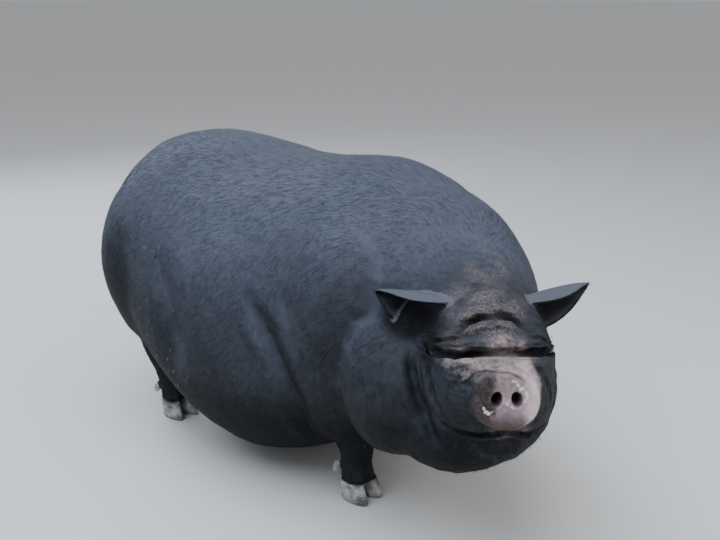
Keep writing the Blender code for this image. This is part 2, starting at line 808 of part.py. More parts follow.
def tail_switch():
    """The hair at the end of the tail, as overlapping locks round a core."""
    rng = random.Random(7)
    x, y, z, radius = TAIL[-1]
    root = Vector((x, y, z - GAP))
    turns = np.linspace(0, 2 * math.pi, 12, endpoint=False)
    rings = []
    for drop, size in SWITCH_CORE:
        reach = radius * size
        rings.append([root + Vector((reach * math.cos(t), reach * math.sin(t), -drop)) for t in turns])
    core = loft("tail_switch", rings)
    group = bpy.data.collections.new("locks")
    for i in range(SWITCH_LOCKS):
        start = root + Vector((0, 0, -0.004 - 0.003 * (i % 3)))
        made = lock(
            start,
            i * 2.4 + rng.uniform(-0.2, 0.2),
            rng.uniform(0.065, 0.095),
            rng.uniform(0.0050, 0.0065),
            rng.uniform(0.008, 0.015),
            rng.uniform(-0.006, 0.006),
        )
        group.objects.link(made)
    join = core.modifiers.new("locks", "BOOLEAN")
    join.operation = "UNION"
    join.solver = "EXACT"
    join.operand_type = "COLLECTION"
    join.collection = group
    apply_modifiers(core)
    keep_largest(core)
    for made in list(group.objects):
        bpy.data.objects.remove(made, do_unlink=True)
    bpy.data.collections.remove(group)
    return core


def cut_nostrils(snout):
    for side in (1, -1):
        place = HEAD @ frame((-0.002, side * NOSTRIL_SIDE, NOSTRIL_HEIGHT), side * 10, -6, side * 18)
        carve(snout, ellipsoid("nostril", NOSTRIL_RADII, place, 14))


def finish(body, name, colour, roughness):
    """Names a part and gives it a material of its own."""
    body.name = name
    body.data.name = name
    material = bpy.data.materials.new(name)
    material.use_nodes = True
    shader = material.node_tree.nodes["Principled BSDF"]
    shader.inputs["Base Color"].default_value = (*colour, 1)
    shader.inputs["Roughness"].default_value = roughness
    shader.inputs["Metallic"].default_value = 0.0
    body.data.materials.clear()
    body.data.materials.append(material)
    body.data.polygons.foreach_set("use_smooth", [True] * len(body.data.polygons))
    body.data.set_sharp_from_angle(angle=math.radians(SHARP))


def legs_and_feet(body):
    """Parts the four legs from the body and sets the hooves and dewclaws under them."""
    for end, (stand, back_reach, top, foot_back, claw_back) in LEGS.items():
        for side, word in ((1, "left"), (-1, "right")):
            lean = STANCE[side] if end == "fore" else -STANCE[side]
            x, y = stand + lean, side * TRACK
            low = (x - back_reach, y - 0.050, ANKLE)
            high = (x + 0.050, y + 0.050, top)
            leg = part_off(body, f"{end}leg_{word}", low, high, Matrix(), column)
            stump = ((x - 0.1, y - 0.06, 0), (x + 0.06, y + 0.06, ANKLE + GAP))
            carve(body, box("stump", *stump, Matrix()))
            for half, which in ((1, "outer"), (-1, "inner")):
                offset = side * half
                hoof = toe(x - foot_back + 0.010, y + offset * 0.0165, offset * 5)
                finish(hoof, f"hoof_{end}_{word}_{which}", HORN, 0.55)
                claw = dewclaw(x - claw_back, y, offset)
                fit_against(claw, leg)
                finish(claw, f"dewclaw_{end}_{word}_{which}", HORN, 0.55)
            finish(leg, f"{end}leg_{word}", HIDE, 0.62)


def settle():
    """Puts the origin under the middle of all parts and gives them their real size."""
    every = [o for o in bpy.data.objects if o.type == "MESH"]
    points = np.vstack([read_points(o)[0] for o in every])
    low, high = points.min(0), points.max(0)
    shift = np.array((-(low[0] + high[0]) / 2, -(low[1] + high[1]) / 2, -low[2]))
    for item in every:
        write_points(item, (read_points(item)[0] + shift) * LIFE_SCALE)
    return Vector(shift)


def build():
    clear_scene()
    body = fuse("body", base_forms(), SKIN_VOXEL)
    soften(body, 14)
    body = fuse("body", [body, disc()], FINE_VOXEL)
    soften(body, 3)
    refine_head(body)
    points, _ = read_points(body)
    soften(body, 3, head_share(points))
    fold_skin(body)
    tree = tree_of(body)
    eyes = [eye_centre(tree, side) for side in (1, -1)]
    raise_lids(body, eyes)
    thin_out(body)
    ears = [ear(side) for side in (1, -1)]
    legs_and_feet(body)
    torso_face = frame((NECK_CUT_X, 0, 0), NECK_CUT_YAW)
    front = part_off(body, "front", (0, -0.5, 0), (0.6, 0.5, 0.8), torso_face)
    head = part_off(front, "head", (HEAD_BACK, -0.4, -0.4), (0.3, 0.4, 0.4), HEAD)
    snout = part_off(head, "snout", *SNOUT_CUT, HEAD)
    cut_nostrils(snout)
    cut_eyes(head, eyes)
    for leaf, (centre, aim), word in zip(ears, eyes, ("left", "right")):
        fit_against(leaf, head)
        finish(leaf, f"ear_{word}", HIDE, 0.65)
        finish(eyeball("eye", centre, aim), f"eye_{word}", EYE_BROWN, 0.08)
    tail_part = tail()
    fit_against(tail_part, body)
    finish(tail_part, "tail", HIDE, 0.65)
    finish(tail_switch(), "tail_switch", BRISTLE, 0.7)
    finish(body, "torso", HIDE, 0.62)
    finish(front, "neck", HIDE, 0.62)
    finish(head, "head", HIDE, 0.62)
    finish(snout, "snout", SNOUT_PINK, 0.5)
    return settle()


SHIFT = build()
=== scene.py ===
"""The looks of a standing pot bellied pig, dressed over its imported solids.

Metres, +Z up, the trunk along +X, the pig's left side towards +Y. One skin stands for
all parts of flesh. Bristles, hooves, claws and eyes are pieces of their own.
"""

import json
import math

import bmesh
import bpy
import numpy as np
from mathutils import Matrix, Vector, noise
from mathutils.bvhtree import BVHTree

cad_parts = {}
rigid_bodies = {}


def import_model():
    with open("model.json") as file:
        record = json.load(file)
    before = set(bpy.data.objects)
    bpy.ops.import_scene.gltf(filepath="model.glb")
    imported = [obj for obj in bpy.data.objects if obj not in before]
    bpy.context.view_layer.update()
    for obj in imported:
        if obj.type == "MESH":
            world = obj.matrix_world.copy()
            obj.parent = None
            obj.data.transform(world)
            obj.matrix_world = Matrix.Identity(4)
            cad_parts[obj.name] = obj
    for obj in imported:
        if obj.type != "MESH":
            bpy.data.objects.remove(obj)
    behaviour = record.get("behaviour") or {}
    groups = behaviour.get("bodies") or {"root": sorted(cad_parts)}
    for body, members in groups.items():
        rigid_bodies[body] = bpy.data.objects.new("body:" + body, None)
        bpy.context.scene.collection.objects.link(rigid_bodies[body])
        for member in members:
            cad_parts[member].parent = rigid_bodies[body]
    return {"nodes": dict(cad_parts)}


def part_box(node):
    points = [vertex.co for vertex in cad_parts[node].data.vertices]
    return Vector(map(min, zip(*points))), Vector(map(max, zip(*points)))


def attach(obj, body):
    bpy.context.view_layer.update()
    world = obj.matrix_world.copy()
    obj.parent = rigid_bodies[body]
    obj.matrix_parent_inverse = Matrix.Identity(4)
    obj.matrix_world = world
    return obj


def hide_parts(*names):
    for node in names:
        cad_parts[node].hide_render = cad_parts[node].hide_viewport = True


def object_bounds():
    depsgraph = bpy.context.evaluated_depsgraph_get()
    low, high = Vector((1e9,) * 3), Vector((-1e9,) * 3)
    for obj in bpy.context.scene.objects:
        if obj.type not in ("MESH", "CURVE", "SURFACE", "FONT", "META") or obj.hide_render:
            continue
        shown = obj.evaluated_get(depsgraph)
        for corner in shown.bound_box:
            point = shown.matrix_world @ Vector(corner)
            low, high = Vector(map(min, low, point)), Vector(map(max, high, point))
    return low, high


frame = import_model()
cad_low, cad_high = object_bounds()

# The head's own frame: +X out of the snout, +Y to the pig's left, +Z over the brow.
SNOUT_TIP = Vector((0.4711, -0.2259, 0.2944))
HEAD_YAW = -47.0
HEAD_PITCH = 10.0

LEGS = ("foreleg_left", "foreleg_right", "hindleg_left", "hindleg_right")
EARS = ("ear_left", "ear_right")
FLESH = ("torso", "neck", "head", "snout", *LEGS, "tail", *EARS)
# The grid that joins the solids, and how far each solid is grown before that.
SKIN_VOXEL = 0.0018
CLOSING = 0.0003
EAR_PADDING = 0.0008
BODY_TRIANGLES = 70000
HEAD_TRIANGLES = 118000
# Where the finer part of the skin ends, behind, beside and below, and the finest, the face.
HEAD_BACK, HEAD_SIDE, HEAD_FLOOR = -0.225, 0.20, -0.14
FACE_BACK, FACE_SIDE = -0.135, 0.10
# The height below which the feet keep their own shape.
FEET_TOP = 0.075
# How far to its side each eye looks, in degrees, and a nostril's sideways and height.
EYE_TURN = 48.0
NOSTRIL = (0.0120, 0.0028)
# What the ears add to the third mark, which is otherwise a chance from 0 to 1.
EAR_MARK = 2
# The direction that dust falls and the light comes from: surfaces facing it get dust and painted sheen,
# those facing away painted shade.
DUST_AND_LIGHT_FROM = (-0.05, -0.10, 0.99)
# The depth of a groove whose painted shade is at its darkest.
CREASE_FULL = 0.0035
# How deep the skin lies inside the solids under the coat, and on the face.
COAT_DEPTH = 0.0012
FACE_COAT_DEPTH = 0.0004

# Folds of the face, as sideways and height seen from the front of the head, in metres,
# then depth, half width and the swell beside them. Positive sideways is the pig's left.
BROW_LINE = ((-0.055, 0.062), (-0.034, 0.079), (-0.006, 0.088), (0.024, 0.082), (0.047, 0.064))
VALLEY = ((-0.094, 0.048), (-0.078, 0.038), (-0.052, 0.0422), (-0.016, 0.0484))
VALLEY += ((0.02, 0.0488), (0.052, 0.0436), (0.078, 0.038), (0.094, 0.048))
FACE_FOLDS = (
    (BROW_LINE, 0.0052, 0.0034, 0.0016),
    (((-0.042, 0.066), (-0.02, 0.074), (0.006, 0.076), (0.028, 0.07)), 0.0018, 0.0016, 0.0008),
    (((-0.082, 0.046), (-0.066, 0.056), (-0.048, 0.064), (-0.03, 0.066)), 0.0026, 0.002, 0.001),
    (((0.076, 0.046), (0.056, 0.06), (0.036, 0.065)), 0.0022, 0.0018, 0.0009),
    (((-0.062, 0.05), (-0.03, 0.058), (-0.012, 0.059)), 0.0014, 0.0015, 0.0006),
    (((0.024, 0.058), (0.04, 0.056), (0.06, 0.051)), 0.0014, 0.0015, 0.0006),
    (VALLEY, 0.0062, 0.0038, 0.0018),
    (((-0.036, 0.11), (-0.018, 0.117), (0.006, 0.118), (0.026, 0.112)), 0.001, 0.0022, 0.0003),
    (((-0.03, 0.1), (0.0, 0.104), (0.026, 0.1)), 0.0008, 0.0018, 0.0003),
)
# The creases over and beside the disc of the snout, in the same terms.
OVER_DISC = ((-0.052, 0.015), (-0.0455, 0.0185), (-0.04, 0.024), (-0.032, 0.03), (-0.021, 0.035))
OVER_DISC += ((-0.008, 0.036), (0.004, 0.0325), (0.015, 0.027), (0.021, 0.02))
BY_DISC = ((-0.043, 0.018), (-0.0395, 0.012), (-0.0415, 0.003))
BY_DISC += ((-0.041, -0.005), (-0.037, -0.016), (-0.03, -0.026))
RING_FOLDS = (
    (OVER_DISC, 0.0021, 0.0012, 0.0008),
    (BY_DISC, 0.0014, 0.0011, 0.0005),
    (((-0.06, 0.026), (-0.048, 0.0345), (-0.032, 0.04)), 0.0011, 0.0012, 0.0004),
    (((-0.022, 0.0255), (-0.008, 0.028), (0.006, 0.023)), 0.0009, 0.001, 0.0004),
)
# Folds that both cheeks have, in the same terms, for the pig's left side.
CHEEK_FOLDS = (
    (((0.105, 0.036), (0.098, 0.003), (0.083, -0.048)), 0.0008, 0.004, 0.0006),
    (((0.084, 0.022), (0.079, -0.006), (0.073, -0.03)), 0.0016, 0.002, 0.0008),
    (((0.092, 0.028), (0.09, 0.0), (0.08, -0.04)), 0.0012, 0.0016, 0.0004),
    (((0.06, 0.016), (0.064, -0.006), (0.06, -0.028)), 0.001, 0.0015, 0.0004),
    (((0.18, 0.024), (0.158, 0.04), (0.136, 0.056)), 0.0012, 0.0018, 0.0004),
    (((0.166, 0.02), (0.144, 0.038), (0.122, 0.058)), 0.0012, 0.0018, 0.0004),
    (((0.15, 0.012), (0.132, 0.028), (0.116, 0.044)), 0.001, 0.0016, 0.0003),
)
HALF_MOUTH = ((0.018, -0.046), (0.037, -0.0515), (0.055, -0.0515), (0.07, -0.046))
MOUTH = tuple((-a, b) for a, b in reversed(HALF_MOUTH)) + ((0.0, -0.0415),) + HALF_MOUTH
MOUTH_GROOVE = (0.0022, 0.0024, 0.001)
# The line under the lower lip follows the mouth, narrower and lower.
LIP_GROOVE = (0.0014, 0.0022, 0.0006)
LIP_SHARE, LIP_DROP = 0.72, 0.0085
# Lids and creases round each eye: height, half width, and depth, below 0 for a lid.
LIDS = (
    (0.0058, 0.0032, -0.0025),
    (-0.0058, 0.0024, -0.001),
    (0.0122, 0.0018, 0.0017),
    (-0.0105, 0.0015, 0.0011),
    (-0.0145, 0.0015, 0.0008),
)

HIDE_DARK = (0.013, 0.014, 0.016)
HIDE_MIDDLE = (0.027, 0.028, 0.032)
# Dust and painted sheen of the sky's light on the upper surfaces.
HIDE_DUST_AND_SHEEN = (0.104, 0.118, 0.158)
# Painted shade, for undersides, creases, eye hollows and under the ears.
PAINTED_SHADE = (0.006, 0.006, 0.007)
# Dust and painted sheen on the upper surfaces of the ears.
EAR_DUST_AND_SHEEN = (0.13, 0.142, 0.172)
# Painted shade inside the ear cups.
EAR_CUP_SHADE = (0.003, 0.003, 0.003)
EARTH = (0.075, 0.062, 0.05)
CHAFF = (0.3, 0.29, 0.25)
PINK = (0.34, 0.245, 0.245)
# Pale pink skin, and painted light on the pig's left of the snout.
PALE_AND_LIT_PINK = (0.64, 0.52, 0.53)
LILAC = (0.27, 0.225, 0.275)
# Brown of the disc, and painted shade on its lower part.
DISC_BROWN_AND_SHADE = (0.07, 0.052, 0.052)
ROOT_BROWN = (0.085, 0.058, 0.052)
TAN = (0.31, 0.243, 0.225)
# Painted highlights on the wet disc, as sideways and height, and their reach; the skin is raised a little
# under each.
GLINTS = (
    ((0.0068, 0.0225), (0.0034, 0.002)),
    ((0.012, 0.0195), (0.0032, 0.002)),
    ((0.017, 0.015), (0.0026, 0.0028)),
    ((0.0215, 0.006), (0.002, 0.006)),
    ((-0.0262, -0.007), (0.0018, 0.0024)),
    ((-0.024, -0.011), (0.0024, 0.0018)),
    ((-0.0205, -0.013), (0.0026, 0.0014)),
    ((0.0016, -0.002), (0.002, 0.003)),
    ((0.006, -0.007), (0.0032, 0.002)),
)
# Painted highlight.
PAINTED_HIGHLIGHT = (0.78, 0.7, 0.73)
# Painted shade deep in the nostrils.
NOSTRIL_SHADE = (0.01, 0.009, 0.009)
# The few bristles that are paler than the skin.
HAIR_PALE = (0.17, 0.18, 0.205)
HORN_DARK = (0.085, 0.085, 0.088)
HORN_PALE = (0.42, 0.41, 0.395)
HORN_RING = (0.48, 0.465, 0.44)
IRIS = ((0.018, 0.01, 0.006), (0.05, 0.027, 0.014))
EYE_WHITE = ((0.014, 0.01, 0.009), (0.032, 0.022, 0.018))
PUPIL = (0.003, 0.003, 0.003)
FLOOR_TONES = ((0.71, 0.71, 0.7), (0.74, 0.74, 0.73))
SKY = (0.93, 0.95, 1.0)
SKY_STRENGTH = 0.5

# Each lamp: its name, place, aim, size, watts and colour.
LIGHTS = (
    ("overhead", (-0.1, -1.0, 2.6), (0.0, 0.0, 0.3), 3.2, 92.0, (0.75, 0.86, 1.0)),
    ("rim", (-2.4, 0.5, 1.7), (-0.2, 0.0, 0.3), 1.4, 28.0, (0.85, 0.92, 1.0)),
    ("front", (1.9, 0.1, 1.3), (0.4, -0.2, 0.3), 1.0, 14.0, (1.0, 0.97, 0.94)),
)
# The photo's camera: place, direction round and above the pig in degrees, and lens.
CAMERA_PLACE = (0.9955, -1.0759, 0.7452)
CAMERA_AZIMUTH, CAMERA_ELEVATION = 41.508, 16.469
CAMERA_LENS = 46.18


class Value:
    """A number, colour or vector inside a material, with arithmetic for numbers."""

    def __init__(self, finish, socket):
        self.finish = finish
        self.socket = socket

    def __add__(self, other):
        return self.finish.math("ADD", self, other)

    def __sub__(self, other):
        return self.finish.math("SUBTRACT", self, other)

    def __mul__(self, other):
        return self.finish.math("MULTIPLY", self, other)

    def __truediv__(self, other):
        return self.finish.math("DIVIDE", self, other)

    def __pow__(self, other):
        return self.finish.math("POWER", self, other)

    def __rsub__(self, other):
        return self.finish.math("SUBTRACT", other, self)

    __radd__ = __add__
    __rmul__ = __mul__


class Finish:
    """A material and the few ways in which its nodes are made."""

    def __init__(self, name, roughness, **constants):
        self.material = bpy.data.materials.new(name)
        self.material.use_nodes = True
        self.shader = self.material.node_tree.nodes["Principled BSDF"]
        self.shader.inputs["Roughness"].default_value = roughness
        for socket, value in constants.items():
            self.shader.inputs[socket.replace("_", " ")].default_value = value
        self.point = self.node("ShaderNodeTexCoord", {}, "Object")

    def node(self, kind, fed, output=0, **settings):
        """A node with the given settings, fed by the name or number of each socket."""
        made = self.material.node_tree.nodes.new(kind)
        for key, value in settings.items():
            setattr(made, key, value)
        for key, value in fed.items():
            self.feed(made.inputs[key], value)
        return Value(self, made.outputs[output])

    def feed(self, socket, value):
        if isinstance(value, Value):
            self.material.node_tree.links.new(value.socket, socket)
        elif isinstance(value, tuple) and socket.type == "RGBA":
            socket.default_value = (*value, 1.0)
        else:
            socket.default_value = value

    def parts(self, value):
        """The three numbers of a vector."""
        made = self.material.node_tree.nodes.new("ShaderNodeSeparateXYZ")
        self.feed(made.inputs[0], value)
        return [Value(self, part) for part in made.outputs]

    def math(self, operation, a, b=0.0):
        return self.node("ShaderNodeMath", {0: a, 1: b}, operation=operation)

    def vector(self, operation, a, b, output="Vector"):
        return self.node("ShaderNodeVectorMath", {0: a, 1: b}, output, operation=operation)

    def blend(self, share, a, b):
        """Colour a, with a share of colour b laid over it."""
        return self.node("ShaderNodeMix", {0: share, 6: a, 7: b}, 2, data_type="RGBA")

    def step(self, value, low, high):
        """0 below low and 1 above high, smooth between; low may be the greater."""
        first = 1.0 if low > high else 0.0
        fed = {"Value": value, "From Min": min(low, high), "From Max": max(low, high)}
        fed.update({"To Min": first, "To Max": 1.0 - first})
        return self.node("ShaderNodeMapRange", fed, interpolation_type="SMOOTHSTEP")

    def noise(self, scale, detail=3.0, rough=0.55, point=None):
        fed = {"Vector": point or self.point, "Scale": scale, "Detail": detail, "Roughness": rough}
        return self.node("ShaderNodeTexNoise", fed)

    def cells(self, scale, feature="F1", point=None):
        fed = {"Vector": point or self.point, "Scale": scale}
        return self.node("ShaderNodeTexVoronoi", fed, feature=feature)

    def scaled(self, size):
        """The point, stretched along each axis."""
        return self.vector("MULTIPLY", self.point, size)

    def bump(self, height, distance, strength, below=None):
        fed = {"Height": height, "Distance": distance, "Strength": strength}
        if below:
            fed["Normal"] = below
        return self.node("ShaderNodeBump", fed)

    def use(self, socket, value):
        self.feed(self.shader.inputs[socket], value)


def frame_at(origin, yaw, pitch):
    turn = Matrix.Rotation(math.radians(yaw), 4, "Z") @ Matrix.Rotation(math.radians(-pitch), 4, "Y")
    return Matrix.Translation(origin) @ turn


HEAD = frame_at(SNOUT_TIP, HEAD_YAW, HEAD_PITCH)


def unit(vectors):
    return vectors / np.maximum(np.linalg.norm(vectors, axis=-1, keepdims=True), 1e-12)


def in_head(points):
    """Points in the head's own frame."""
    back = np.array(HEAD.inverted())
    return points @ back[:3, :3].T + back[:3, 3]


def from_head(vectors):
    """Directions of the head's own frame in the common frame."""
    return np.asarray(vectors) @ np.array(HEAD)[:3, :3].T


def only(piece):
    """Makes a piece the one selected and active object."""
    bpy.ops.object.select_all(action="DESELECT")
    piece.select_set(True)
    bpy.context.view_layer.objects.active = piece


def add_object(name, data):
    made = bpy.data.objects.new(name, data)
    bpy.context.scene.collection.objects.link(made)
    return made


def apply_all(piece):
    only(piece)
    for modifier in list(piece.modifiers):
        bpy.ops.object.modifier_apply(modifier=modifier.name)


def read(piece, field="co"):
    values = np.empty(len(piece.data.vertices) * 3)
    piece.data.vertices.foreach_get(field, values)
    return values.reshape(-1, 3)


def write(piece, points):
    piece.data.vertices.foreach_set("co", points.ravel())
    piece.data.update()


def corners_of(piece):
    piece.data.calc_loop_triangles()
    corners = np.empty(len(piece.data.loop_triangles) * 3, int)
    piece.data.loop_triangles.foreach_get("vertices", corners)
    return corners.reshape(-1, 3)


def middles_of(piece):
    """The middle of each triangle."""
    return read(piece)[corners_of(piece)].mean(1)


def merged_copy(node, growth):
    """A closed copy of a solid, grown a little along its normals."""
    mesh = bmesh.new()
    mesh.from_mesh(frame["nodes"][node].data)
    bmesh.ops.remove_doubles(mesh, verts=mesh.verts, dist=1e-5)
    mesh.normal_update()
    for vert in mesh.verts:
        vert.co += vert.normal * growth
    data = bpy.data.meshes.new(node + "_copy")
    mesh.to_mesh(data)
    mesh.free()
    return data


def keep_largest(piece):
    """Drops every loose scrap but the largest body of a mesh."""
    only(piece)
    before = set(bpy.data.objects)
    bpy.ops.object.mode_set(mode="EDIT")
    bpy.ops.mesh.separate(type="LOOSE")
    bpy.ops.object.mode_set(mode="OBJECT")
    parts = [piece] + [o for o in bpy.data.objects if o not in before]
    parts.sort(key=lambda o: len(o.data.vertices))
    kept = parts.pop()
    for scrap in parts:
        bpy.data.objects.remove(scrap, do_unlink=True)
    return kept


def collapse(piece, chosen, target):
    """Collapses edges among the chosen points until the piece has target triangles."""
    group = piece.vertex_groups.new(name="thin")
    group.add(np.nonzero(chosen)[0].tolist(), 1.0, "REPLACE")
    thin = piece.modifiers.new("thin", "DECIMATE")
    thin.ratio = min(1.0, target / len(piece.data.polygons))
    thin.vertex_group = "thin"
    thin.vertex_group_factor = 100.0
    apply_all(piece)
    piece.vertex_groups.clear()


def edges_of(piece):
    edges = np.empty(len(piece.data.edges) * 2, int)
    piece.data.edges.foreach_get("vertices", edges)
    return edges.reshape(-1, 2)


def soften(points, edges, rounds, share, hold=True):
    """Smooths points, by default in and out in turn, so that the form keeps its size."""
    ends = np.concatenate((edges[:, 0], edges[:, 1]))
    others = np.concatenate((edges[:, 1], edges[:, 0]))
    near = np.bincount(ends, minlength=len(points))[:, None]
    factors = (0.6, -0.61) if hold else (0.6,)
    for step in range(rounds * len(factors)):
        total = np.stack([np.bincount(ends, points[others, i], len(points)) for i in range(3)], 1)
        points += factors[step % len(factors)] * share[:, None] * (total / near - points)


def near_path(points, path):
    """The distance of each point to a path, and its place along it from 0 to 1."""
    steps = path[1:] - path[:-1]
    offset = points[:, None] - path[None, :-1]
    along = np.clip((offset * steps).sum(2) / (steps * steps).sum(1), 0, 1)
    away = np.linalg.norm(offset - along[:, :, None] * steps, axis=2)
    closest = away.argmin(1)
    rows = np.arange(len(points))
    return away[rows, closest], (closest + along[rows, closest]) / len(steps)


def press(points, normals, path, depth, width, swell, crease):
    """Presses a soft groove along a path, with a swell on each side, and notes its crease."""
    if len(path) < 2:
        return
    path = np.array(path)
    reach = 5 * width
    near = np.all((points > path.min(0) - reach) & (points < path.max(0) + reach), axis=1)
    chosen = np.nonzero(near)[0]
    gap, place = near_path(points[chosen], path)
    fade = np.clip(5 * np.minimum(place, 1 - place), 0, 1) ** 0.7
    fade = fade * (1 + 0.25 * np.sin(place * 17 + 90 * path[0][0]))
    push = swell * np.exp(-(((gap - 2.2 * width) / width) ** 2)) - depth * np.exp(-((gap / width) ** 2))
    points[chosen] += normals[chosen] * (fade * push)[:, None]
    mark = fade * np.exp(-((gap / (1.3 * width)) ** 2)) * min(1.0, depth / CREASE_FULL)
    crease[chosen] = np.maximum(crease[chosen], mark)


def smooth_line(pairs, steps=6):
    """Points on a smooth curve through the given pairs."""
    keys = np.array(pairs, float)
    ends = np.vstack((2 * keys[0] - keys[1], keys, 2 * keys[-1] - keys[-2]))
    line = []
    for span in range(len(keys) - 1):
        a, b, c, d = ends[span : span + 4]
        for t in np.linspace(0, 1, steps, endpoint=False):
            line.append(b + 0.5 * t * (c - a + t * (2 * a - 5 * b + 4 * c - d + t * (3 * (b - c) + d - a))))
    line.append(keys[-1])
    return line


def laid_on_face(tree, pairs):
    """Lays sideways and height pairs on the face, from in front of the head."""
    ahead = (HEAD.to_3x3() @ Vector((-1, 0, 0))).normalized()
    path = []
    for side, height in smooth_line(pairs):
        height += 0.0009 * math.sin(side * 150) + 0.0005 * math.sin(side * 330 + 1)
        hit = tree.ray_cast(HEAD @ Vector((0.3, side, height)), ahead)[0]
        if hit:
            path.append(hit)
    return path


def eye_place(word):
    """The middle, radius and outward direction of an eye."""
    low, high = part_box("eye_" + word)
    side = 1 if word == "left" else -1
    aim = frame_at((0, 0, 0), HEAD_YAW + side * EYE_TURN, HEAD_PITCH).to_3x3() @ Vector((1, 0, 0))
    return (low + high) / 2, (high - low).x / 2, aim.normalized()


def nostril_place(side):
    return HEAD @ Vector((0.0, side * NOSTRIL[0], NOSTRIL[1]))


def on_the_head(local):
    """Which points, given in the head's own frame, belong to the finer part of the skin."""
    return (local[:, 0] > HEAD_BACK) & (np.abs(local[:, 1]) < HEAD_SIDE) & (local[:, 2] > HEAD_FLOOR)


def make_skin():
    """One closed skin over all parts of flesh."""
    body = bmesh.new()
    for node in FLESH:
        growth = EAR_PADDING if node.startswith("ear") else CLOSING
        data = merged_copy(node, growth)
        body.from_mesh(data)
        bpy.data.meshes.remove(data)
    data = bpy.data.meshes.new("skin")
    body.to_mesh(data)
    body.free()
    skin = add_object("skin", data)
    close = skin.modifiers.new("close", "REMESH")
    close.mode = "VOXEL"
    close.voxel_size = SKIN_VOXEL
    apply_all(skin)
    skin = keep_largest(skin)
    skin.name = "skin"
    split = skin.modifiers.new("split", "TRIANGULATE")
    split.quad_method = "SHORTEST_DIAGONAL"
    apply_all(skin)
    on_head = on_the_head(in_head(read(skin)))
    head_faces = int(on_head[corners_of(skin)].all(1).sum())
    collapse(skin, ~on_head, BODY_TRIANGLES + head_faces)
    local = in_head(read(skin))
    face = (local[:, 0] > FACE_BACK) & (np.abs(local[:, 1]) < FACE_SIDE)
    collapse(skin, on_the_head(local) & ~face, BODY_TRIANGLES + HEAD_TRIANGLES)
    return skin


def shape_skin(skin):
    """Smooths the skin, presses its folds and brings it inside the solids."""
    points = read(skin)
    edges = edges_of(skin)
    forward, left, _ = in_head(points).T
    head = np.clip((forward - HEAD_BACK) / 0.03, 0, 1) * np.clip((HEAD_SIDE - np.abs(left)) / 0.04, 0, 1)
    feet = np.clip((FEET_TOP - points[:, 2]) / 0.03, 0, 1)
    # Less than 1 near the eyes and nostrils, where the shape is kept.
    calm = np.ones(len(points))
    for word in ("left", "right"):
        centre, radius, _ = eye_place(word)
        away = np.linalg.norm(points - np.array(centre), axis=1)
        calm *= np.clip((away - radius * 1.1) / (radius * 0.8), 0.3, 1)
    for side in (1, -1):
        away = np.linalg.norm(points - np.array(nostril_place(side)), axis=1)
        calm *= np.clip((away - 0.01) / 0.01, 0.15, 1)
    ears = near_node(points, EARS, 0.004)
    body = (1 - head) * (1 - feet) * (1 - ears)
    soften(points, edges, 40, body)
    soften(points, edges, 9, calm * (1 - ears))
    soften(points, edges, 4, np.maximum(ears, 0.25 * calm))
    forward, left, up = in_head(points).T
    folds = ramp(up, 0.034, 0.044) * ramp(up, 0.114, 0.1) * ramp(np.abs(left), 0.094, 0.08)
    folds *= ramp(forward, -0.022, -0.036) * ramp(forward, -0.17, -0.15)
    soften(points, edges, 80, folds * calm * (1 - ears), hold=False)
    cheek = bell(np.abs(left), 0.094, 0.022) * bell(up, -0.02, 0.06) * bell(forward, -0.09, 0.06)
    soften(points, edges, 45, cheek)
    rim = bell(np.hypot(left / 0.0414, up / 0.0395), 1.03, 0.16) * (forward > -0.035)
    soften(points, edges, 12, rim, hold=False)
    write(skin, points)
    crease = press_folds(skin)
    points, normals = read(skin), read(skin, "normal")
    wrinkle(points, normals, head, calm * (1 - ears))
    depth = COAT_DEPTH + (FACE_COAT_DEPTH - COAT_DEPTH) * head + CLOSING
    points -= normals * np.where(ears > 0, EAR_PADDING, depth)[:, None]
    soften(points, edges, 1, 0.5 * calm)
    write(skin, points)
    upward = read(skin, "normal") @ np.array(DUST_AND_LIGHT_FROM)
    give_marks(skin, np.stack((upward, crease, 0.5 + EAR_MARK * ears), 1))
    return skin


def ramp(values, low, high):
    """0 at low and 1 at high, in a straight line between; low may be the greater."""
    return np.clip((values - low) / (high - low), 0, 1)


def bell(values, middle, width):
    """1 at the middle, falling to 0 over twice the width."""
    return np.clip(1.5 - np.abs(values - middle) / width * 0.75, 0, 1)


def wrinkle(points, normals, head, share):
    """Fine wrinkles over the head, across the brow and down the cheeks; lumps on the body."""
    for i, (forward, left, up) in enumerate(in_head(points)):
        rise = 0.0
        if head[i] > 0 and forward < -0.016:
            side = min(max((abs(left) - 0.05) / 0.03, 0), 1)
            across = noise.noise((left * 40, up * 210, forward * 60))
            down = noise.noise((left * 60, up * 45, forward * 190))
            rise = 0.0013 * across * (1 - side) + 0.0012 * down * side
            rise += 0.0012 * noise.noise((left * 60, up * 60, forward * 60)) - 0.0004
            rise *= head[i]
        if head[i] < 1:
            x, y, z = points[i]
            lumps = 0.0036 * noise.noise((x * 12, y * 12, z * 9)) - 0.0006
            lumps += 0.0008 * noise.noise((x * 40, y * 40, z * 22))
            rise += lumps * (1 - head[i])
        points[i] += normals[i] * (rise * share[i])


def give_marks(piece, marks):
    """Notes how far each point looks up, its depth in a crease, and its chance or ear."""
    piece.data.attributes.new("marks", "FLOAT_VECTOR", "POINT")
    piece.data.attributes["marks"].data.foreach_set("vector", marks.ravel())


def near_node(points, nodes, reach):
    """1 for points within reach of one of the given solids, else 0."""
    found = np.zeros(len(points))
    for node in nodes:
        low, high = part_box(node)
        near = np.all((points > np.array(low) - reach) & (points < np.array(high) + reach), axis=1)
        tree = BVHTree.FromObject(frame["nodes"][node], bpy.context.evaluated_depsgraph_get())
        for i in np.nonzero(near)[0]:
            if tree.find_nearest(points[i], reach)[0]:
                found[i] = 1.0
    return found


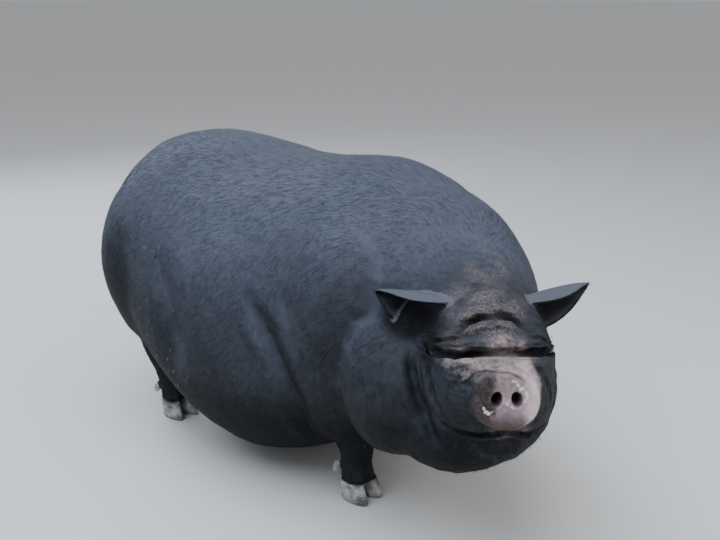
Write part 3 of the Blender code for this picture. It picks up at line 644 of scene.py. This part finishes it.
def press_folds(skin):
    """Presses all folds into the skin, and gives how deep each point lies in a crease."""
    tree = BVHTree.FromObject(skin, bpy.context.evaluated_depsgraph_get())
    points, normals = read(skin), read(skin, "normal")
    crease = np.zeros(len(points))
    for pairs, depth, width, swell in FACE_FOLDS + RING_FOLDS:
        press(points, normals, laid_on_face(tree, pairs), depth, width, swell, crease)
    for pairs, depth, width, swell in CHEEK_FOLDS:
        for side in (1, -1):
            path = laid_on_face(tree, [(side * a, b) for a, b in pairs])
            press(points, normals, path, depth, width, swell, crease)
    press(points, normals, laid_on_face(tree, MOUTH), *MOUTH_GROOVE, crease)
    lower_lip = [(a * LIP_SHARE, b - LIP_DROP) for a, b in MOUTH]
    press(points, normals, laid_on_face(tree, lower_lip), *LIP_GROOVE, crease)
    shape_disc(points)
    raise_lids(points, normals, crease)
    write(skin, points)
    return crease


def shape_disc(points):
    """Dishes the snout's disc, and raises its rim and the rims of the nostrils."""
    forward, left, up = in_head(points).T
    out = from_head((1.0, 0.0, 0.0))
    across = np.hypot(left / 0.04, (up - 0.001) / 0.038)
    uneven = np.sin(left * 210 + 1) * np.sin(up * 190) * 0.0004
    on_disc = (forward > -0.0135) & (across < 1.15)
    dish = -0.0016 * np.clip(1 - (across / 0.8) ** 2, 0, 1)
    edge = 0.0007 * np.exp(-(((across - 0.9) / 0.09) ** 2))
    groove = -0.0012 * np.exp(-((left / 0.0022) ** 2)) * (up < -0.006)
    push = np.where(on_disc, dish + edge + groove + uneven, 0.0)
    for side in (1, -1):
        away = np.hypot((left - side * NOSTRIL[0]) / 0.0062, (up - NOSTRIL[1]) / 0.0086)
        rim = 0.0012 * np.exp(-(((away - 1.45) / 0.34) ** 2))
        push += np.where(on_disc, rim, 0.0)
    # A small rise under each painted highlight.
    for (sideways, height), (wide, tall) in GLINTS:
        away = ((left - sideways) / wide) ** 2 + ((up - height) / tall) ** 2
        push += np.where(on_disc, 0.0006 * np.exp(-away), 0.0)
    points += out * push[:, None]


def raise_lids(points, normals, crease):
    """Swells a lid above and below each eye, with creases round them."""
    for word in ("left", "right"):
        centre, radius, aim = eye_place(word)
        place = Matrix.Translation(centre) @ aim.to_track_quat("X", "Z").to_matrix().to_4x4()
        for rise, width, depth in LIDS:
            arc = []
            for across in np.linspace(-0.0135, 0.0135, 11):
                height = rise * math.cos(across / 0.015 * math.pi / 2)
                arc.append(place @ Vector((radius * 0.98, across, height)))
            press(points, normals, arc, depth, width, 0.0, crease)


def head_values(finish):
    """How far a point lies forward, to the left and up, in the head's own frame."""
    offset = finish.vector("SUBTRACT", finish.point, tuple(SNOUT_TIP))
    axes = HEAD.to_3x3().transposed()
    return [finish.vector("DOT_PRODUCT", offset, tuple(axis), "Value") for axis in axes]


def oval(finish, x, y, middle, radii, soft):
    """1 inside an oval, falling to 0 over the share soft of its size."""
    away = ((x - middle[0]) / radii[0]) ** 2.0 + ((y - middle[1]) / radii[1]) ** 2.0
    return finish.step(away, 1.0 + soft, 1.0 - soft)


def hide_colour(finish):
    """The markings, dust, painted sheen and painted shade that the skin and the bristles share, and the
    chance of each point.
    """
    forward, left, up = head_values(finish)
    marks = finish.node("ShaderNodeAttribute", {}, "Vector", attribute_name="marks")
    upward, crease, chance = finish.parts(marks)

    def lay(share, shade):
        """The colour so far, with a share of another laid over it."""
        return finish.blend(share, colour, shade)

    large = finish.noise(5.0, 4.0)
    fine = finish.noise(90.0, 4.0, 0.65)
    streak = finish.noise(1.0, 3.0, 0.6, finish.scaled((230.0, 230.0, 42.0)))
    colour = finish.blend(finish.step(fine, 0.3, 0.75), HIDE_DARK, HIDE_MIDDLE)
    # Upward-facing surfaces get dust and a painted sheen of the sky's light; the face gets less.
    dust_and_sheen = finish.step(upward + (large - 0.5) * 0.6, -0.3, 0.85)
    clean = finish.step(forward, -0.25, -0.14) * 0.74
    colour = lay(dust_and_sheen * (streak * 0.75 + 0.45) * (1.0 - clean), HIDE_DUST_AND_SHEEN)
    along, _, height = finish.parts(finish.point)
    # Painted shade on surfaces that face down, low on the legs and on the rear of the hams.
    below = finish.math("MAXIMUM", finish.step(upward, -0.1, -0.75), finish.step(height, 0.19, 0.11))
    ham = oval(finish, along + (large - 0.5) * 0.12, height, (-0.33, 0.235), (0.052, 0.12), 0.85)
    below = finish.math("MAXIMUM", below, ham * 0.75)
    colour = lay(below * 0.8, PAINTED_SHADE)
    low = finish.step(height + (large - 0.5) * 0.06, 0.09, 0.03)
    colour = lay(low * finish.step(fine, 0.45, 0.75) * 0.4, EARTH)
    specks = finish.cells(84.0, point=finish.scaled((1.0, 1.0, 0.36)))
    thrown = finish.step(finish.noise(9.0, 2.0), 0.48, 0.62)
    behind = finish.step(forward, -0.25, -0.45)
    speck = finish.step(specks, 0.15, 0.07) * thrown * behind * finish.step(height, 0.4, 0.3)
    colour = lay(speck * 0.75, CHAFF)
    colour = face_colour(finish, colour, forward, left, up, fine)
    # Painted shadow under the ears, and a darker chin, partly its black beard and partly painted shade
    # under the head.
    shade = oval(finish, finish.math("ABSOLUTE", left), up, (0.102, 0.073), (0.036, 0.026), 0.7)
    shade = shade * finish.step(forward, -0.25, -0.2)
    chin = finish.step(up + (large - 0.5) * 0.03, -0.038, -0.066) * finish.step(forward, -0.17, -0.11)
    colour = lay(finish.math("MAXIMUM", shade * 0.95, chin * 0.65), PAINTED_SHADE)
    # Painted shade in the creases.
    colour = lay(crease * 0.85, PAINTED_SHADE)
    # On the ears, upward surfaces get dust and painted sheen, and the cup beneath gets painted shade.
    cup = finish.step(chance, 1.2, 1.9)
    colour = lay(cup * finish.step(upward, 0.25, 0.65) * 0.7, EAR_DUST_AND_SHEEN)
    colour = lay(cup * finish.step(upward, 0.3, -0.05) * 0.92, EAR_CUP_SHADE)
    return colour, finish.math("FRACT", chance)


def face_colour(finish, colour, forward, left, up, fine):
    """The pink disc, the tan roll and the speckled brow; painted shade round the eyes, low on the disc and
    in the nostrils; painted light and highlights on the disc.
    """
    ahead = finish.step(forward, -0.1, -0.06)
    front = finish.step(forward, -0.2, -0.17)
    speckle = finish.step(finish.noise(430.0, 4.0, 0.75), 0.38, 0.68)
    speckle = speckle * finish.step(finish.noise(32.0, 2.0), 0.3, 0.6)
    patchy = finish.step(finish.noise(38.0, 3.0, 0.6), 0.36, 0.6)
    mottle = finish.step(finish.noise(140.0, 4.0, 0.75), 0.38, 0.6)
    wave = (finish.noise(70.0, 3.0) - 0.5) * 0.016

    def lay(share, shade):
        return finish.blend(share, colour, shade)

    def patch(share, middle, radii, shade, soft=0.8):
        """The colour so far, with an uneven oval of another laid over it."""
        return lay(oval(finish, left + wave, up + wave, middle, radii, soft) * share, shade)

    brow = oval(finish, left, up, (-0.012, 0.094), (0.05, 0.026), 0.75) * front
    crown = oval(finish, left, up, (0.004, 0.136), (0.03, 0.028), 0.8)
    crown = crown * finish.step(forward, -0.26, -0.2) * 0.7
    colour = lay(finish.math("MAXIMUM", brow, crown) * speckle * 0.68, TAN)
    # Painted shade in the hollows round the eyes.
    for eye in ("left", "right"):
        away = finish.vector("DISTANCE", finish.point, tuple(eye_place(eye)[0]), "Value")
        colour = lay(finish.step(away, 0.034, 0.016) * 0.75, PAINTED_SHADE)
    colour = patch(front * speckle * 0.45, (-0.015, 0.062), (0.05, 0.014), TAN)
    colour = patch(front * (patchy * 0.3 + mottle * 0.6), (0.008, 0.057), (0.023, 0.0095), PINK)
    roll = ahead * (patchy * 0.3 + mottle * 0.45 + 0.25)
    colour = patch(roll, (-0.012, 0.044), (0.058, 0.0085), TAN, 0.7)
    colour = patch(ahead * (mottle * 0.5 + 0.05), (-0.034, 0.033), (0.036, 0.011), TAN, 0.7)
    # Pale pink skin beside the disc on the pig's left, partly painted light.
    colour = patch(ahead * (mottle * 0.45 + 0.35), (0.025, 0.006), (0.018, 0.036), PALE_AND_LIT_PINK, 0.6)
    colour = patch(ahead * (mottle * 0.4 + 0.05), (0.008, -0.041), (0.026, 0.008), TAN)
    disc = oval(finish, left, up, (0.0, 0.0), (0.0405, 0.039), 0.16)
    disc = disc * finish.step(forward, -0.02, -0.01)
    outside, colour = colour, finish.blend(finish.step(fine, 0.35, 0.7) * 0.4, PINK, PALE_AND_LIT_PINK)
    colour = patch(0.25, (-0.004, 0.017), (0.02, 0.01), DISC_BROWN_AND_SHADE)
    colour = patch(0.75, (0.004, -0.013), (0.014, 0.011), LILAC)
    # The pig's right part of the disc gets a dark grey mottle, partly painted shade.
    grey = finish.step(left + wave * 1.6, -0.007, -0.021)
    colour = lay(grey * (mottle * 0.13 + 0.82), HIDE_DARK)
    freckle = finish.step(finish.noise(240.0, 4.0, 0.7), 0.48, 0.66)
    colour = lay(freckle * (0.35 + grey * 0.45), HIDE_MIDDLE)
    # The lower part of the disc, which faces down, gets painted shade.
    shaded = finish.step(up + wave, -0.011, -0.025) * (mottle * 0.25 + 0.68)
    colour = lay(shaded, DISC_BROWN_AND_SHADE)
    colour = patch(0.9, (0.003, -0.033), (0.018, 0.006), ROOT_BROWN)
    # Painted light on the pig's left side of the disc.
    lit = finish.step(left + wave, 0.016, 0.03) * (mottle * 0.3 + 0.6)
    colour = lay(lit, PALE_AND_LIT_PINK)
    # Painted highlights on the disc.
    for middle, radii in GLINTS:
        colour = patch(mottle * 0.3 + 0.6, middle, radii, PAINTED_HIGHLIGHT)
    inside = finish.math("ABSOLUTE", left) - NOSTRIL[0]
    away = (inside / 0.0058) ** 2.0 + ((up - NOSTRIL[1]) / 0.008) ** 2.0
    colour = lay(finish.step(away, 1.9, 0.9) * 0.8, ROOT_BROWN)
    colour = finish.blend(disc, outside, colour)
    # Painted shade deep inside each nostril.
    hole = finish.step(away, 1.0, 0.35) * finish.step(forward, -0.034, -0.028)
    return lay(hole * 0.9, NOSTRIL_SHADE)


def skin_finish():
    finish = Finish("hide", 0.62, Specular_IOR_Level=0.1)
    finish.use("Base Color", hide_colour(finish)[0])
    forward = head_values(finish)[0]
    moist = finish.step(forward, -0.024, -0.012)
    grain = finish.noise(120.0, 4.0)
    finish.use("Roughness", 0.62 - 0.3 * moist + (grain - 0.5) * 0.2)
    net = finish.cells(330.0, "DISTANCE_TO_EDGE")
    coarse = finish.cells(95.0, "DISTANCE_TO_EDGE", finish.scaled((1.0, 1.0, 0.55)))
    hair = finish.noise(1.0, 4.0, 0.65, finish.scaled((520.0, 520.0, 70.0)))
    relief = finish.step(net, 0.0, 0.1) * 0.25 + finish.step(coarse, 0.0, 0.06) * 0.1 + hair * 0.6
    soft = finish.bump(finish.noise(26.0, 3.0), 0.001, 0.3)
    finish.use("Normal", finish.bump(relief, 0.0004, 0.45, soft))
    return finish.material


def finish_skin():
    skin = shape_skin(make_skin())
    only(skin)
    bpy.ops.object.shade_smooth()
    skin.data.materials.append(skin_finish())
    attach(skin, "root")
    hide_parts(*FLESH)
    return skin


def label_faces(skin):
    """The solid nearest to the middle of each triangle of the skin, as its place in FLESH."""
    points, faces, owner = [], [], []
    for number, node in enumerate(FLESH):
        data = frame["nodes"][node].data
        base = len(points)
        points.extend(v.co.copy() for v in data.vertices)
        faces.extend([base + i for i in p.vertices] for p in data.polygons)
        owner.extend([number] * len(data.polygons))
    tree = BVHTree.FromPolygons(points, faces)
    middles = middles_of(skin)
    return np.array([owner[tree.find_nearest(m)[2]] for m in middles])


def of_nodes(labels, nodes):
    """Which labels name one of the given solids."""
    return np.isin(labels, [FLESH.index(node) for node in nodes])


def fold_of_sphere(directions):
    """Directions from a middle, laid flat on a square by unfolding an octahedron."""
    d = directions / np.abs(directions).sum(1, keepdims=True)
    signs = np.where(d[:, :2] >= 0, 1.0, -1.0)
    folded = np.where(d[:, 2:] < 0, (1 - np.abs(d[:, 1::-1])) * signs, d[:, :2])
    return folded * 0.5 + 0.5


def unwrap(points, labels):
    """Where points of the skin lie on an unwrap of its shape: a square for each part."""
    flat = np.zeros((len(points), 2))
    for number, node in enumerate(FLESH):
        chosen = labels == number
        low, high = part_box(node)
        middle, size = np.array(low + high) / 2, np.array(high - low)
        place = number - 1
        if node == "torso":
            corner, side = (0.0, 0.0), 0.66
        elif place < 3:
            corner, side = (0.67, 0.33 * place), 0.32
        else:
            corner, side = (0.094 * (place - 3), 0.7), 0.09
        flat[chosen] = fold_of_sphere((points[chosen] - middle) / size) * side + corner
    return np.clip(flat, 0.0, 0.996)


def strands(name, roots, normals, lie, length, width, lift, labels, marks, steps=1):
    """Thin three sided bristles, as one mesh, each with a small patch of the unwrap."""
    count = len(roots)
    side = unit(np.cross(normals, lie))
    rings = []
    for step in range(steps):
        t = step / steps
        middle = roots + lie * (length * t)[:, None]
        rise = length * lift * (1.6 * t - 0.75 * t * t) - ROOT_SUNK * (1 - t)
        middle = middle + normals * rise[:, None]
        half = (width * (1 - TAPER * t) / 2)[:, None]
        rings += [middle + side * half, middle + normals * half, middle - side * half]
    tip = roots + lie * length[:, None] + normals * (length * lift * 0.85)[:, None]
    points = np.stack(rings + [tip], 1)
    points = np.clip(points, np.array(cad_low) + 1e-5, np.array(cad_high) - 1e-5)
    faces = [(0, 2, 1)]
    for step in range(steps - 1):
        a, b = 3 * step, 3 * step + 3
        for i in range(3):
            j = (i + 1) % 3
            faces += [(a + i, a + j, b + j), (a + i, b + j, b + i)]
    last = 3 * (steps - 1)
    faces += [(last + i, last + (i + 1) % 3, 3 * steps) for i in range(3)]
    each = 3 * steps + 1
    corners = (np.array(faces).ravel()[None] + np.arange(count)[:, None] * each).ravel()
    data = bpy.data.meshes.new(name)
    data.vertices.add(count * each)
    data.vertices.foreach_set("co", points.ravel())
    data.loops.add(len(corners))
    data.loops.foreach_set("vertex_index", corners)
    data.polygons.add(len(corners) // 3)
    data.polygons.foreach_set("loop_start", np.arange(0, len(corners), 3))
    data.polygons.foreach_set("use_smooth", np.ones(len(corners) // 3, bool))
    data.update(calc_edges=True)
    patch = [(UV_PATCH / 2 * (i % 3), UV_PATCH * (i // 3) / steps) for i in range(3 * steps)]
    patch.append((UV_PATCH / 2, UV_PATCH))
    flat = unwrap(roots, labels)[:, None] + np.array(patch)[None]
    uv = data.uv_layers.new(name="OFBake")
    uv.data.foreach_set("uv", flat.reshape(-1, 2)[corners].ravel())
    made = add_object(name, data)
    give_marks(made, np.repeat(marks, each, axis=0))
    return made


def scattered(skin, labels, weights, count, seed):
    """Roots spread at random by weight; with a count of 0 the weight is a density."""
    rng = np.random.default_rng(seed)
    corners = corners_of(skin)
    points, normals = read(skin), read(skin, "normal")
    a, b, c = (points[corners[:, i]] for i in range(3))
    odds = np.linalg.norm(np.cross(b - a, c - a), axis=1) / 2 * weights
    count = count or int(min(MOST_BRISTLES, odds.sum()))
    picked = rng.choice(len(corners), count, p=odds / odds.sum())
    u, v = np.sqrt(rng.random(count)), rng.random(count)
    mix = np.stack((1 - u, u * (1 - v), u * v), 1)
    roots = (points[corners[picked]] * mix[:, :, None]).sum(1)
    upright = unit((normals[corners[picked]] * mix[:, :, None]).sum(1))
    marks = np.empty(len(points) * 3)
    skin.data.attributes["marks"].data.foreach_get("vector", marks)
    marks = (marks.reshape(-1, 3)[corners[picked]] * mix[:, :, None]).sum(1)
    marks[:, 2] = rng.random(count) + EAR_MARK * of_nodes(labels[picked], EARS)
    return roots, upright, labels[picked], marks, rng


def head_nearness(points):
    """1 on the head, falling to 0 on the shoulders."""
    away = np.linalg.norm(in_head(points) - np.array((-0.11, 0.0, 0.0)), axis=1)
    share = np.clip((0.3 - away) / 0.15, 0, 1)
    return share * share * (3 - 2 * share)


def lie_of(roots, normals, labels, rng):
    """The way that the bristles lie at each root."""
    local = in_head(roots)
    lie = np.tile(BODY_LIE, (len(roots), 1))
    sideways = 0.25 * np.clip(local[:, 1] / 0.02, -1, 1)
    down = -0.55 * np.clip((0.06 - local[:, 2]) / 0.04, 0, 1)
    back = from_head(np.stack((np.full(len(roots), -1.0), sideways, down), 1))
    lie = lie + (back - lie) * head_nearness(roots)[:, None]
    lie[of_nodes(labels, LEGS)] = LEG_LIE
    lie[of_nodes(labels, ("tail",))] = TAIL_LIE
    for ear, direction in EAR_LIES.items():
        lie[of_nodes(labels, (ear,))] = from_head(direction)
    wave = np.sin(roots @ np.array((31.0, 17.0, 23.0))) + np.sin(roots @ np.array((-19.0, 41.0, 29.0)))
    lie = lie + 0.12 * wave[:, None] * np.cross(normals, lie) + rng.normal(0, 0.1, (len(roots), 3))
    return unit(lie - normals * (lie * normals).sum(1)[:, None])


def bristle_finish(name, shine):
    finish = Finish(name, shine, Specular_IOR_Level=0.1)
    colour, chance = hide_colour(finish)
    colour = finish.blend(finish.step(chance, 0.3, 0.05) * 0.45, colour, HIDE_DARK)
    pale = finish.step(chance, 0.82, 0.9) * 0.42
    finish.use("Base Color", finish.blend(pale, colour, HAIR_PALE))
    return finish.material


# Each coat: the solids that it covers, and between which x and on which side it lies.
COATS = (
    ("coat_rump_left", ("torso",), -1.0, -0.15, 1),
    ("coat_rump_right", ("torso",), -1.0, -0.15, -1),
    ("coat_flank_left", ("torso",), -0.15, 1.0, 1),
    ("coat_flank_right", ("torso",), -0.15, 1.0, -1),
    ("coat_neck", ("neck",), -1.0, 1.0, 0),
    ("coat_head", ("head",), -1.0, 1.0, 0),
    ("coat_snout", ("snout",), -1.0, 1.0, 0),
    ("coat_legs", LEGS + ("tail",), -1.0, 1.0, 0),
    ("coat_ears", EARS, -1.0, 1.0, 0),
)
MOST_BRISTLES = 48000
WHISKERS = 900
TAIL_HAIRS = 900
TAIL_HAIR_REACH = 0.0055
# Each bristle's patch of the unwrap, how far its root is sunk, and what its tip loses.
UV_PATCH = 0.003
ROOT_SUNK = 0.0005
TAPER = 0.45
# How the bristles lie on the body, legs and tail, and on the ears in the head's own frame.
BODY_LIE = (-0.62, 0.0, -0.6)
LEG_LIE = (-0.3, 0.0, -1.0)
TAIL_LIE = (-0.05, 0.0, -1.0)
EAR_LIES = {"ear_left": (-0.32, 0.88, 0.28), "ear_right": (-0.2, -0.94, 0.27)}
# Bristles to a square metre, and their length and width in metres.
ON_BODY = (125000, 0.014, 0.00036)
ON_HEAD = (300000, 0.0082, 0.0003)
ON_FACE = (420000, 0.0046, 0.00023)
ON_SNOUT = (500000, 0.0026, 0.00016)
ON_LEGS = (220000, 0.008, 0.0003)
ON_EARS = (420000, 0.0052, 0.00022)


def hair_at(points, labels):
    """Count to a square metre, length and width of the bristles at each place."""
    near = head_nearness(points)[:, None]
    face = np.clip((in_head(points)[:, 0] + 0.15) / 0.06, 0, 1)[:, None] * (near > 0.9)
    on_body, on_head, on_face = np.array((ON_BODY, ON_HEAD, ON_FACE))
    hair = on_body + (on_head - on_body) * near
    hair += (on_face - on_head) * face
    for nodes, kind in ((("snout",), ON_SNOUT), (LEGS + ("tail",), ON_LEGS), (EARS, ON_EARS)):
        hair[of_nodes(labels, nodes)] = kind
    return hair.T


def make_coats(skin, labels):
    """Short bristles over the whole skin, longest along the ridge of the back."""
    middles = middles_of(skin)
    local = in_head(middles)
    bare = np.hypot(local[:, 1] / 0.042, local[:, 2] / 0.04) < 1.0
    bare &= local[:, 0] > -0.016
    density = hair_at(middles, labels)[0] * np.where(bare, 0.02, 1.0)
    material = bristle_finish("bristles", 0.46)
    for seed, (name, nodes, back, fore, side) in enumerate(COATS, 11):
        here = of_nodes(labels, nodes) & (middles[:, 0] >= back) & (middles[:, 0] < fore)
        if side:
            here &= (middles[:, 1] >= 0) == (side > 0)
        roots, normals, owner, marks, rng = scattered(skin, labels, density * here, 0, seed)
        lie = lie_of(roots, normals, owner, rng)
        _, long, wide = hair_at(roots, owner)
        ridge = np.clip((normals[:, 2] - 0.55) / 0.35, 0, 1) * np.clip((roots[:, 2] - 0.36) / 0.06, 0, 1)
        long = long * rng.uniform(0.6, 1.3, len(roots)) * (1 + 0.35 * ridge)
        wide = wide * rng.uniform(0.7, 1.2, len(roots))
        stand = rng.uniform(0.02, 0.12, len(roots))
        coat = strands(name, roots, normals, lie, long, wide, stand, owner, marks)
        coat.data.materials.append(material)
        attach(coat, "root")


def make_whiskers(skin, labels):
    """Longer single bristles on the chin, the lips and the brows."""
    middles = middles_of(skin)
    forward, left, up = in_head(middles).T
    chin = (forward > -0.1) & (up < -0.045) & (np.abs(left) < 0.06)
    lip = (forward > -0.045) & (forward < -0.012) & (up < -0.01) & (up > -0.045)
    brow = (forward > -0.13) & (np.abs(left) > 0.04) & (up > 0.045) & (up < 0.075)
    weights = 1.0 * chin + 0.5 * lip + 0.5 * brow
    roots, normals, owner, marks, rng = scattered(skin, labels, weights, WHISKERS, 71)
    lie = unit(lie_of(roots, normals, owner, rng) + 0.35 * normals)
    length = rng.uniform(0.007, 0.016, WHISKERS)
    width, lift = np.full(WHISKERS, 0.00032), np.full(WHISKERS, 0.1)
    made = strands("whiskers", roots, normals, lie, length, width, lift, owner, marks, 3)
    made.data.materials.append(bpy.data.materials["bristles"])
    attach(made, "root")


def make_tail_hair():
    """The hair at the end of the tail, as many fine hanging strands."""
    rng = np.random.default_rng(5)
    low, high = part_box("tail_switch")
    root_low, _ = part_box("tail")
    top = np.array(((low.x + high.x) / 2, (low.y + high.y) / 2, root_low.z))
    count = TAIL_HAIRS
    turn = rng.uniform(0, 2 * math.pi, count)
    reach = np.sqrt(rng.random(count)) * TAIL_HAIR_REACH
    out = np.stack((np.cos(turn), np.sin(turn), np.zeros(count)), 1)
    drop = rng.uniform(0.0, 0.016, count)
    roots = top + out * reach[:, None] + np.array((0, 0, 1.0)) * (0.004 - drop)[:, None]
    length = rng.uniform(0.045, 0.084, count) * (1 - 0.2 * reach / TAIL_HAIR_REACH)
    length = np.minimum(length, roots[:, 2] - low.z)
    flare = rng.uniform(0.02, 0.16, count)
    lie = unit(out * flare[:, None] + rng.normal(0, 0.05, (count, 3)) + np.array((0, 0, -1.0)))
    labels = np.full(count, FLESH.index("tail"))
    marks = np.stack((np.full(count, 0.1), np.zeros(count), rng.random(count)), 1)
    width, lift = np.full(count, 0.0006), np.full(count, 0.05)
    made = strands("tail_hair", roots, out, lie, length, width, lift, labels, marks, 5)
    made.data.materials.append(bpy.data.materials["bristles"])
    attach(made, "root")
    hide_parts("tail_switch")


def eye_finish(word, centre, radius, aim):
    finish = Finish("eye_" + word, 0.1, Coat_Weight=0.4, Coat_Roughness=0.03, Specular_IOR_Level=0.4)
    offset = finish.vector("SUBTRACT", finish.point, tuple(centre))
    ahead = finish.vector("DOT_PRODUCT", offset, tuple(aim), "Value") / radius
    fibres = finish.noise(700.0, 3.0)
    iris = finish.blend(finish.step(fibres, 0.35, 0.7), *IRIS)
    white = finish.blend(finish.step(finish.noise(300.0), 0.4, 0.7), *EYE_WHITE)
    colour = finish.blend(finish.step(ahead, 0.72, 0.77), white, iris)
    finish.use("Base Color", finish.blend(finish.step(ahead, 0.93, 0.945), colour, PUPIL))
    return finish.material


def make_eye(word):
    """An eyeball with a slight bulge at its front."""
    centre, radius, aim = eye_place(word)
    bpy.ops.object.select_all(action="DESELECT")
    bpy.ops.mesh.primitive_uv_sphere_add(segments=48, ring_count=32, radius=radius)
    eye = bpy.context.active_object
    eye.name = "eyeball_" + word
    for vert in eye.data.vertices:
        share = max(0.0, (vert.co.z / radius - 0.8) / 0.2)
        vert.co.z += radius * 0.02 * share * share * (3 - 2 * share)
    eye.matrix_world = Matrix.Translation(centre) @ aim.to_track_quat("Z", "Y").to_matrix().to_4x4()
    bpy.ops.object.transform_apply(location=True, rotation=True, scale=True)
    bpy.ops.object.shade_smooth()
    eye.data.materials.append(eye_finish(word, centre, radius, aim))
    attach(eye, "root")
    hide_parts("eye_" + word)


def horn_finish():
    finish = Finish("hoof_horn", 0.55, Specular_IOR_Level=0.4)
    rings = finish.noise(1.0, 3.0, 0.5, finish.scaled((38.0, 38.0, 520.0)))
    grain = finish.noise(1.0, 3.0, 0.6, finish.scaled((420.0, 420.0, 60.0)))
    patches = finish.noise(45.0, 3.0)
    colour = finish.blend(finish.step(patches, 0.38, 0.62), HORN_DARK, HORN_PALE)
    colour = finish.blend(finish.step(rings, 0.4, 0.65) * 0.4, colour, HORN_RING)
    height = finish.parts(finish.point)[2]
    worn = finish.step(height + (patches - 0.5) * 0.02, 0.012, 0.002)
    colour = finish.blend(worn * 0.6, colour, EARTH)
    finish.use("Base Color", colour)
    finish.use("Roughness", 0.45 + grain * 0.25)
    finish.use("Normal", finish.bump(rings * 0.7 + grain * 0.3, 0.0006, 0.6))
    return finish.material


def make_horn(node, material):
    """A hoof or claw with rounded edges over its solid."""
    horn = add_object(node + "_horn", merged_copy(node, 0.0))
    only(horn)
    bpy.ops.object.mode_set(mode="EDIT")
    bpy.ops.mesh.select_all(action="SELECT")
    bpy.ops.mesh.dissolve_limited(angle_limit=math.radians(2))
    bpy.ops.mesh.tris_convert_to_quads()
    bpy.ops.object.mode_set(mode="OBJECT")
    edge = horn.modifiers.new("edge", "BEVEL")
    edge.width = 0.001
    edge.segments = 2
    edge.limit_method = "ANGLE"
    edge.angle_limit = math.radians(50)
    fine = horn.modifiers.new("fine", "SUBSURF")
    fine.levels = fine.render_levels = 2
    apply_all(horn)
    bpy.ops.object.shade_smooth()
    horn.data.materials.append(material)
    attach(horn, "root")
    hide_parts(node)


def make_feet():
    material = horn_finish()
    for node in sorted(frame["nodes"]):
        if node.startswith(("hoof_", "dewclaw_")):
            make_horn(node, material)


def make_stage():
    """A plain pale floor, soft light from above and the photo's camera."""
    bpy.ops.object.select_all(action="DESELECT")
    bpy.ops.mesh.primitive_plane_add(size=400.0)
    floor = bpy.context.active_object
    floor.name = "floor"
    finish = Finish("floor", 0.9)
    tone = finish.noise(3.0, 3.0)
    finish.use("Base Color", finish.blend(tone, *FLOOR_TONES))
    floor.data.materials.append(finish.material)
    world = bpy.data.worlds.new("sky")
    bpy.context.scene.world = world
    world.use_nodes = True
    sky = world.node_tree.nodes["Background"]
    sky.inputs["Color"].default_value = (*SKY, 1)
    sky.inputs["Strength"].default_value = SKY_STRENGTH
    for light in LIGHTS:
        add_light(*light)
    camera = bpy.data.cameras.new("camera")
    camera.lens = CAMERA_LENS
    camera.sensor_width = 36.0
    camera.clip_start = 0.05
    view = add_object("camera", camera)
    azimuth, elevation = math.radians(CAMERA_AZIMUTH), math.radians(CAMERA_ELEVATION)
    view.location = CAMERA_PLACE
    level = math.cos(elevation)
    back = Vector((math.sin(azimuth) * level, -math.cos(azimuth) * level, math.sin(elevation)))
    look_along(view, -back)
    bpy.context.scene.camera = view


def look_along(thing, direction):
    thing.rotation_mode = "QUATERNION"
    thing.rotation_quaternion = direction.to_track_quat("-Z", "Y")


def add_light(name, place, target, size, power, colour):
    data = bpy.data.lights.new(name, "AREA")
    data.shape = "DISK"
    data.size = size
    data.energy = power
    data.color = colour
    lamp = add_object(name, data)
    lamp.location = place
    look_along(lamp, Vector(target) - Vector(place))


def build():
    skin = finish_skin()
    labels = label_faces(skin)
    make_coats(skin, labels)
    make_whiskers(skin, labels)
    make_tail_hair()
    for word in ("left", "right"):
        make_eye(word)
    make_feet()
    make_stage()


build()
